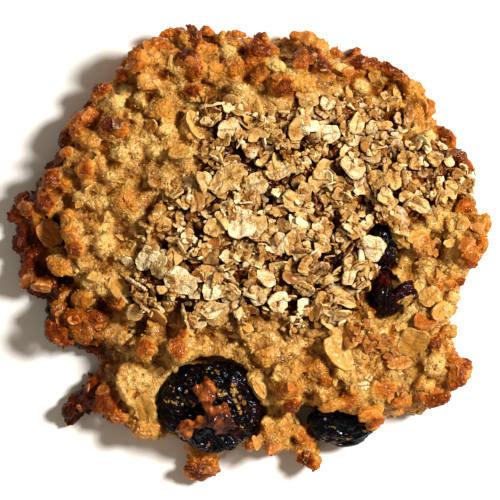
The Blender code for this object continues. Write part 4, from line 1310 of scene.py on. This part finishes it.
# Painted shade in the raisin's folds.
RAISIN_FOLD_SHADE = (3, 2, 2)
RAISIN_GLINT = (215, 228, 255)
SMEAR_TONES = ((0.35, 84, 58, 26), (0.65, 166, 128, 70))
FLOOR_TONES = ((246, 246, 245), (250, 250, 249))


def colour(red, green, blue):
    """Linear colour from the usual 0 to 255 numbers."""
    def linear(value):
        share = value / 255
        return share / 12.92 if share <= 0.04045 else ((share + 0.055) / 1.055) ** 2.4
    return linear(red), linear(green), linear(blue), 1.0


class Shader:
    """A material and short ways to add nodes to it. Sizes are in millimetres."""

    def __init__(self, name):
        self.material = bpy.data.materials.new(name)
        self.material.use_nodes = True
        self.tree = self.material.node_tree
        self.surface = self.tree.nodes["Principled BSDF"]
        self.place = self.add("ShaderNodeTexCoord").outputs["Object"]

    def add(self, kind, inputs=None, **settings):
        node = self.tree.nodes.new(kind)
        for key, value in settings.items():
            setattr(node, key, value)
        for key, value in (inputs or {}).items():
            self.put(node.inputs[key], value)
        return node

    def put(self, socket, value):
        if isinstance(value, bpy.types.NodeSocket):
            self.tree.links.new(value, socket)
        else:
            socket.default_value = value

    def finished(self, looks):
        """The material, once each of these sockets of its surface has its value."""
        for key, value in looks.items():
            self.put(self.surface.inputs[key], value)
        return self.material

    def value(self, label):
        return self.add("ShaderNodeAttribute", attribute_name=label).outputs["Fac"]

    def texture(self, kind, size, output, inputs=None, **settings):
        """A texture whose features are about this size."""
        scaled_to = {"Vector": self.place, "Scale": 1000.0 / size}
        return self.add("ShaderNodeTex" + kind, {**scaled_to, **(inputs or {})}, **settings).outputs[output]

    def grain(self, size, detail=4.0, roughness=0.55):
        """Noise from 0 to 1."""
        return self.texture("Noise", size, "Fac", {"Detail": detail, "Roughness": roughness})

    def cracks(self, size, bend, width):
        """1 inside rounded cells, falling to 0 at the bent cracks between them."""
        wander = self.texture("Noise", size, "Color", {"Detail": 2.0})
        bent = self.add("ShaderNodeVectorMath", {0: wander, 1: (bend * MM,) * 3, 2: self.place},
                        operation="MULTIPLY_ADD").outputs[0]
        gap = self.texture("Voronoi", size, "Distance", {"Vector": bent}, feature="DISTANCE_TO_EDGE")
        return self.scaled(gap, 0.0, width)

    def math(self, operation, first, second, clamp=False):
        terms = {0: first, 1: second}
        return self.add("ShaderNodeMath", terms, operation=operation, use_clamp=clamp).outputs[0]

    def plus(self, first, second, clamp=False):
        return self.math("ADD", first, second, clamp)

    def times(self, first, second, clamp=False):
        return self.math("MULTIPLY", first, second, clamp)

    def scaled(self, value, low, high, to_low=0.0, to_high=1.0):
        ranges = {"From Min": low, "From Max": high, "To Min": to_low, "To Max": to_high}
        return self.add("ShaderNodeMapRange", {"Value": value, **ranges}).outputs["Result"]

    def ramp(self, value, tones):
        """The tone that a value has on a scale of tones."""
        node = self.add("ShaderNodeValToRGB", {"Fac": value})
        stops = node.color_ramp.elements
        stops[0].position, stops[1].position = tones[0][0], tones[-1][0]
        for position, *_ in tones[1:-1]:
            stops.new(position)
        for stop, (_, *tone) in zip(stops, tones):
            stop.color = colour(*tone)
        return node.outputs["Color"]

    def mix(self, share, first, second, blend="MIX"):
        """A colour or tone with a share of a second one."""
        node = self.add("ShaderNodeMix", {"Factor": share}, data_type="RGBA", blend_type=blend)
        sockets = [socket for socket in node.inputs if socket.type == "RGBA"]
        for socket, tone in zip(sockets, (first, second)):
            self.put(socket, colour(*tone) if isinstance(tone, tuple) else tone)
        return next(socket for socket in node.outputs if socket.type == "RGBA")

    def dim(self, share, first, second):
        """A colour multiplied with a share of a second one."""
        return self.mix(share, first, second, "MULTIPLY")

    def specks(self, size, radius, share):
        """1 in small dots that a share of the cells hold."""
        dot = self.scaled(self.texture("Voronoi", size, "Distance"), radius * 1.3 / size, radius * 0.7 / size)
        cell = self.texture("Voronoi", size, "Color")
        chance = self.add("ShaderNodeSeparateColor", {"Color": cell}).outputs["Red"]
        return self.times(dot, self.math("LESS_THAN", chance, share))

    def bump(self, height, depth, strength):
        """Relief of this depth."""
        relief = {"Height": height, "Distance": depth * MM, "Strength": strength}
        return self.add("ShaderNodeBump", relief).outputs["Normal"]


def dough_material():
    """Baked dough: pale crumb to dark crust, with granules, and painted shade in its cracks, hollows and
    pits.
    """
    s = Shader("baked_dough_crust")
    toast, hollow, tint = s.value("toast"), s.value("hollow"), s.value("tint")
    fine, granule, powder = s.grain(1.1, 3.0), s.grain(0.55, 2.0), s.grain(0.34, 1.0)
    browned = s.plus(toast, s.scaled(fine, 0.3, 0.7, -0.12, 0.12), clamp=True)
    base = s.ramp(browned, DOUGH_TONES)
    plain = s.scaled(browned, 0.25, 0.55, 1.0, 0.0)
    pale = s.times(s.scaled(tint, 0.5, 0.78), plain)
    base = s.mix(s.times(pale, 0.75), base, PALE_CRUMB)
    grey = s.times(s.scaled(tint, 0.45, 0.15), plain)
    base = s.mix(s.times(grey, 0.7), base, GREY_CRUMB)
    base = s.mix(s.scaled(granule, 0.56, 0.68, 0.0, 0.4), base, PALE_GRANULE)
    base = s.mix(s.scaled(granule, 0.42, 0.34, 0.0, 0.08), base, DARK_GRANULE)
    # Painted shade along the cracks between crumbs, which are also bumped.
    crumb = s.cracks(1.4, 1.5, 0.2)
    crack_shade = s.times(s.scaled(crumb, 1.0, 0.0), s.scaled(s.grain(4.0, 2.0), 0.4, 0.6, 0.1, 0.55))
    base = s.dim(crack_shade, base, CRACK_SHADE_TONE)
    base = s.dim(s.scaled(s.grain(3.0, 2.0), 0.4, 0.6, 0.0, 0.35), base, s.ramp(powder, DOUGH_DUST))
    # Painted shade: in hollows, deeper on the shaded left and under the heap.
    base = s.dim(s.times(hollow, 0.95, clamp=True), base, HOLLOW_SHADE_TONE)
    base = s.dim(s.scaled(hollow, 1.0, 2.0), base, DEEP_SHADE_TONE)
    # Darkest painted shade, in the deep pits.
    base = s.dim(s.scaled(hollow, 2.0, 2.8), base, PIT_SHADE_TONE)
    relief = s.plus(s.times(powder, 0.3), s.times(granule, 1.5))
    relief = s.plus(s.plus(relief, s.times(crumb, 0.4)), s.times(fine, 1.4))
    return s.finished({
        "Base Color": s.mix(s.specks(2.6, 0.13, 0.35), base, DOUGH_SPECK),
        "Roughness": s.scaled(granule, 0.35, 0.65, 0.32, 0.6),
        "Normal": s.bump(relief, 0.36, 0.9),
        "Coat Normal": s.bump(s.grain(0.75, 2.0), 0.36, 1.0),
        "Specular IOR Level": 0.03,
        "Coat Weight": 0.42,
        "Coat Roughness": 0.13,
        "Subsurface Weight": 0.45,
        "Subsurface Radius": (1.0, 0.45, 0.12),
        "Subsurface Scale": 0.0018,
    })


def scrap_material():
    """Browned dough of the scrap."""
    s = Shader("browned_scrap_crust")
    toast, fine = s.value("toast"), s.grain(1.0)
    return s.finished({
        "Base Color": s.ramp(s.plus(toast, s.scaled(fine, 0.3, 0.7, -0.1, 0.1), clamp=True), SCRAP_TONES),
        "Roughness": s.scaled(fine, 0.3, 0.7, 0.3, 0.5),
        "Normal": s.bump(s.grain(0.6, 3.0), 0.16, 0.8),
        "Specular IOR Level": 0.1,
        "Coat Weight": 0.5,
        "Coat Roughness": 0.15,
    })


def oat_material(name, moist):
    """Rolled oats: cream to tan, spotted with cinnamon; moist ones are more golden and glossy."""
    s = Shader(name)
    tint, toast, edge, crease = s.value("tint"), s.value("toast"), s.value("edge"), s.value("crease")
    fine, broad, powder = s.grain(0.8), s.grain(2.6, 3.0), s.grain(0.34, 1.0)
    shade = s.plus(tint, s.scaled(broad, 0.3, 0.7, -0.18, 0.18), clamp=True)
    if moist:
        base = s.ramp(shade, MOIST_OAT_TONES)
        base = s.mix(s.scaled(toast, 0.2, 0.5, 0.0, 0.9), base, MOIST_TOAST)
        base = s.mix(s.scaled(toast, 0.55, 0.85), base, BURNT_TOAST)
        spotted, dusted, rough, relief = 0.3, 0.3, (0.34, 0.6), 0.2
    else:
        base = s.ramp(shade, DRY_OAT_TONES)
        base = s.mix(s.scaled(toast, 0.25, 0.75, 0.0, 0.75), base, DRY_TOAST)
        spotted, dusted, rough, relief = 0.4, s.scaled(broad, 0.35, 0.55, 0.8, 0.05), (0.42, 0.7), 0.3
    base = s.mix(s.times(s.scaled(fine, 0.5, 0.7), spotted), base, CINNAMON)
    base = s.mix(s.times(crease, 0.7), base, CREASE_TONE)
    # Paler flake edges, with a painted rim highlight on them.
    base = s.mix(s.times(edge, s.scaled(fine, 0.45, 0.6, 0.0, 0.4)), base, OAT_EDGE_HIGHLIGHT)
    base = s.dim(dusted, base, s.ramp(powder, OAT_DUST))
    base = s.mix(s.specks(1.2, 0.11, 0.35), base, OAT_SPECK)
    return s.finished({
        # Painted shade between the oats, darker the deeper they lie.
        "Base Color": s.dim(s.scaled(s.value("depth"), 0.0, 1.1), base, OAT_DEPTH_SHADE),
        "Roughness": s.scaled(fine, 0.3, 0.7, *rough),
        "Normal": s.bump(s.plus(powder, fine), relief, 0.9),
        "Specular IOR Level": 0.1,
        "Coat Weight": 0.25,
        "Coat Roughness": 0.25,
        "Subsurface Weight": 0.1,
        "Subsurface Radius": (1.0, 0.5, 0.15),
        "Subsurface Scale": 0.0008,
    })


def raisin_material():
    """Dark wrinkled skin, redder where it is thin, smeared with crumbs, with painted shade in its folds."""
    s = Shader("wrinkled_raisin_skin")
    fold_shade, smear, red = s.value("fold_shade"), s.value("smear"), s.value("red")
    fine, broad, grit = s.grain(0.5), s.grain(3.2, 3.0), s.grain(0.9, 4.0, 0.65)
    base = s.ramp(s.plus(broad, s.times(red, 0.4)), RAISIN_TONES)
    # Painted shade in the folds and fine lines.
    base = s.mix(s.times(fold_shade, 0.7), base, RAISIN_FOLD_SHADE)
    spread_out = s.plus(grit, s.scaled(smear, 0.0, 1.0, -0.12, 0.08))
    crumbs = s.times(s.scaled(spread_out, 0.51, 0.6), s.scaled(fine, 0.38, 0.52))
    return s.finished({
        "Base Color": s.mix(crumbs, base, s.ramp(fine, SMEAR_TONES)),
        "Roughness": s.plus(s.scaled(fine, 0.3, 0.7, 0.1, 0.3), s.times(crumbs, 0.5)),
        "Normal": s.bump(s.plus(s.grain(0.9, 2.0), s.times(crumbs, 0.5)), 0.16, 0.9),
        "Specular IOR Level": 0.36,
        "Specular Tint": colour(*RAISIN_GLINT),
    })


def floor_material():
    """Plain pale table."""
    s = Shader("pale_table")
    return s.finished({
        "Base Color": s.mix(s.grain(40.0, 2.0), *FLOOR_TONES), "Roughness": 0.9, "Specular IOR Level": 0.1})


# Stage, lights and camera

def make_floor():
    corners = [(x * FLOOR_HALF, y * FLOOR_HALF, FLOOR_Z) for x, y in ((-1, -1), (1, -1), (1, 1), (-1, 1))]
    floor = triangle_object("floor", corners, [(0, 1, 2), (0, 2, 3)])
    floor.data.materials.append(floor_material())


def make_lamp(lamp):
    """A soft light that shines at the cookie."""
    data = bpy.data.lights.new(lamp.name, "AREA")
    data.shape = "DISK"
    data.size = lamp.size
    data.energy = lamp.power
    data.color = lamp.tone
    light = in_scene(lamp.name, data)
    a, e = math.radians(lamp.azimuth), math.radians(lamp.elevation)
    way = Vector((math.cos(a) * math.cos(e), math.sin(a) * math.cos(e), math.sin(e)))
    light.location = way * lamp.distance
    light.rotation_euler = light.location.to_track_quat("Z", "Y").to_euler()


def make_light():
    for lamp in LAMPS:
        make_lamp(lamp)
    world = bpy.data.worlds.new("studio")
    world.use_nodes = True
    world.node_tree.nodes["Background"].inputs["Color"].default_value = SKY_TONE
    world.node_tree.nodes["Background"].inputs["Strength"].default_value = SKY_STRENGTH
    bpy.context.scene.world = world
    bpy.context.scene.view_settings.view_transform = "Standard"
    bpy.context.scene.view_settings.look = "Medium High Contrast"


def make_camera():
    lens = bpy.data.cameras.new("overhead")
    lens.sensor_width = SENSOR
    lens.lens = SENSOR * CAMERA_DISTANCE / VIEW_WIDTH
    lens.clip_start, lens.clip_end = 0.01, 10
    camera = in_scene("overhead", lens)
    camera.location = Vector((*VIEW_CENTRE, MIDDLE_Z + CAMERA_DISTANCE)) * MM
    bpy.context.scene.camera = camera


def place_piece(piece, material, slot, *nodes):
    piece.data.materials.clear()
    piece.data.materials.append(material)
    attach(piece, BODY)
    if nodes:
        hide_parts(*nodes)


def main():
    noise.seed_set(NOISE_SEED)
    crust = dough_material()
    clumps = [from_photo(*row) for rows in CLUMPS.values() for row in rows]
    pits = [from_photo(*row) for row in PITS]
    skin = raisin_material()
    raisins = []
    for name, raisin in RAISINS.items():
        made = make_raisin(name, raisin)
        place_piece(made, skin, "raisin_skin", name)
        raisins.append(made.data)
    dough = make_dough(clumps, pits, raisins)
    place_piece(dough, crust, "baked_dough", "cookie")
    place_piece(make_grains(dough), crust, "baked_dough")
    place_piece(make_scrap(), scrap_material(), "baked_dough", "dough_scrap")
    ground = Ground([dough.data] + raisins)
    place_piece(make_soaked(dough, ground), oat_material("soaked_oat", True), "rolled_oats")
    place_piece(make_raisin_crumbs(ground), crust, "baked_dough")
    dry = oat_material("dry_oat", False)
    for oats in make_oats(ground):
        place_piece(oats, dry, "rolled_oats")
    make_floor()
    make_light()
    make_camera()


main()
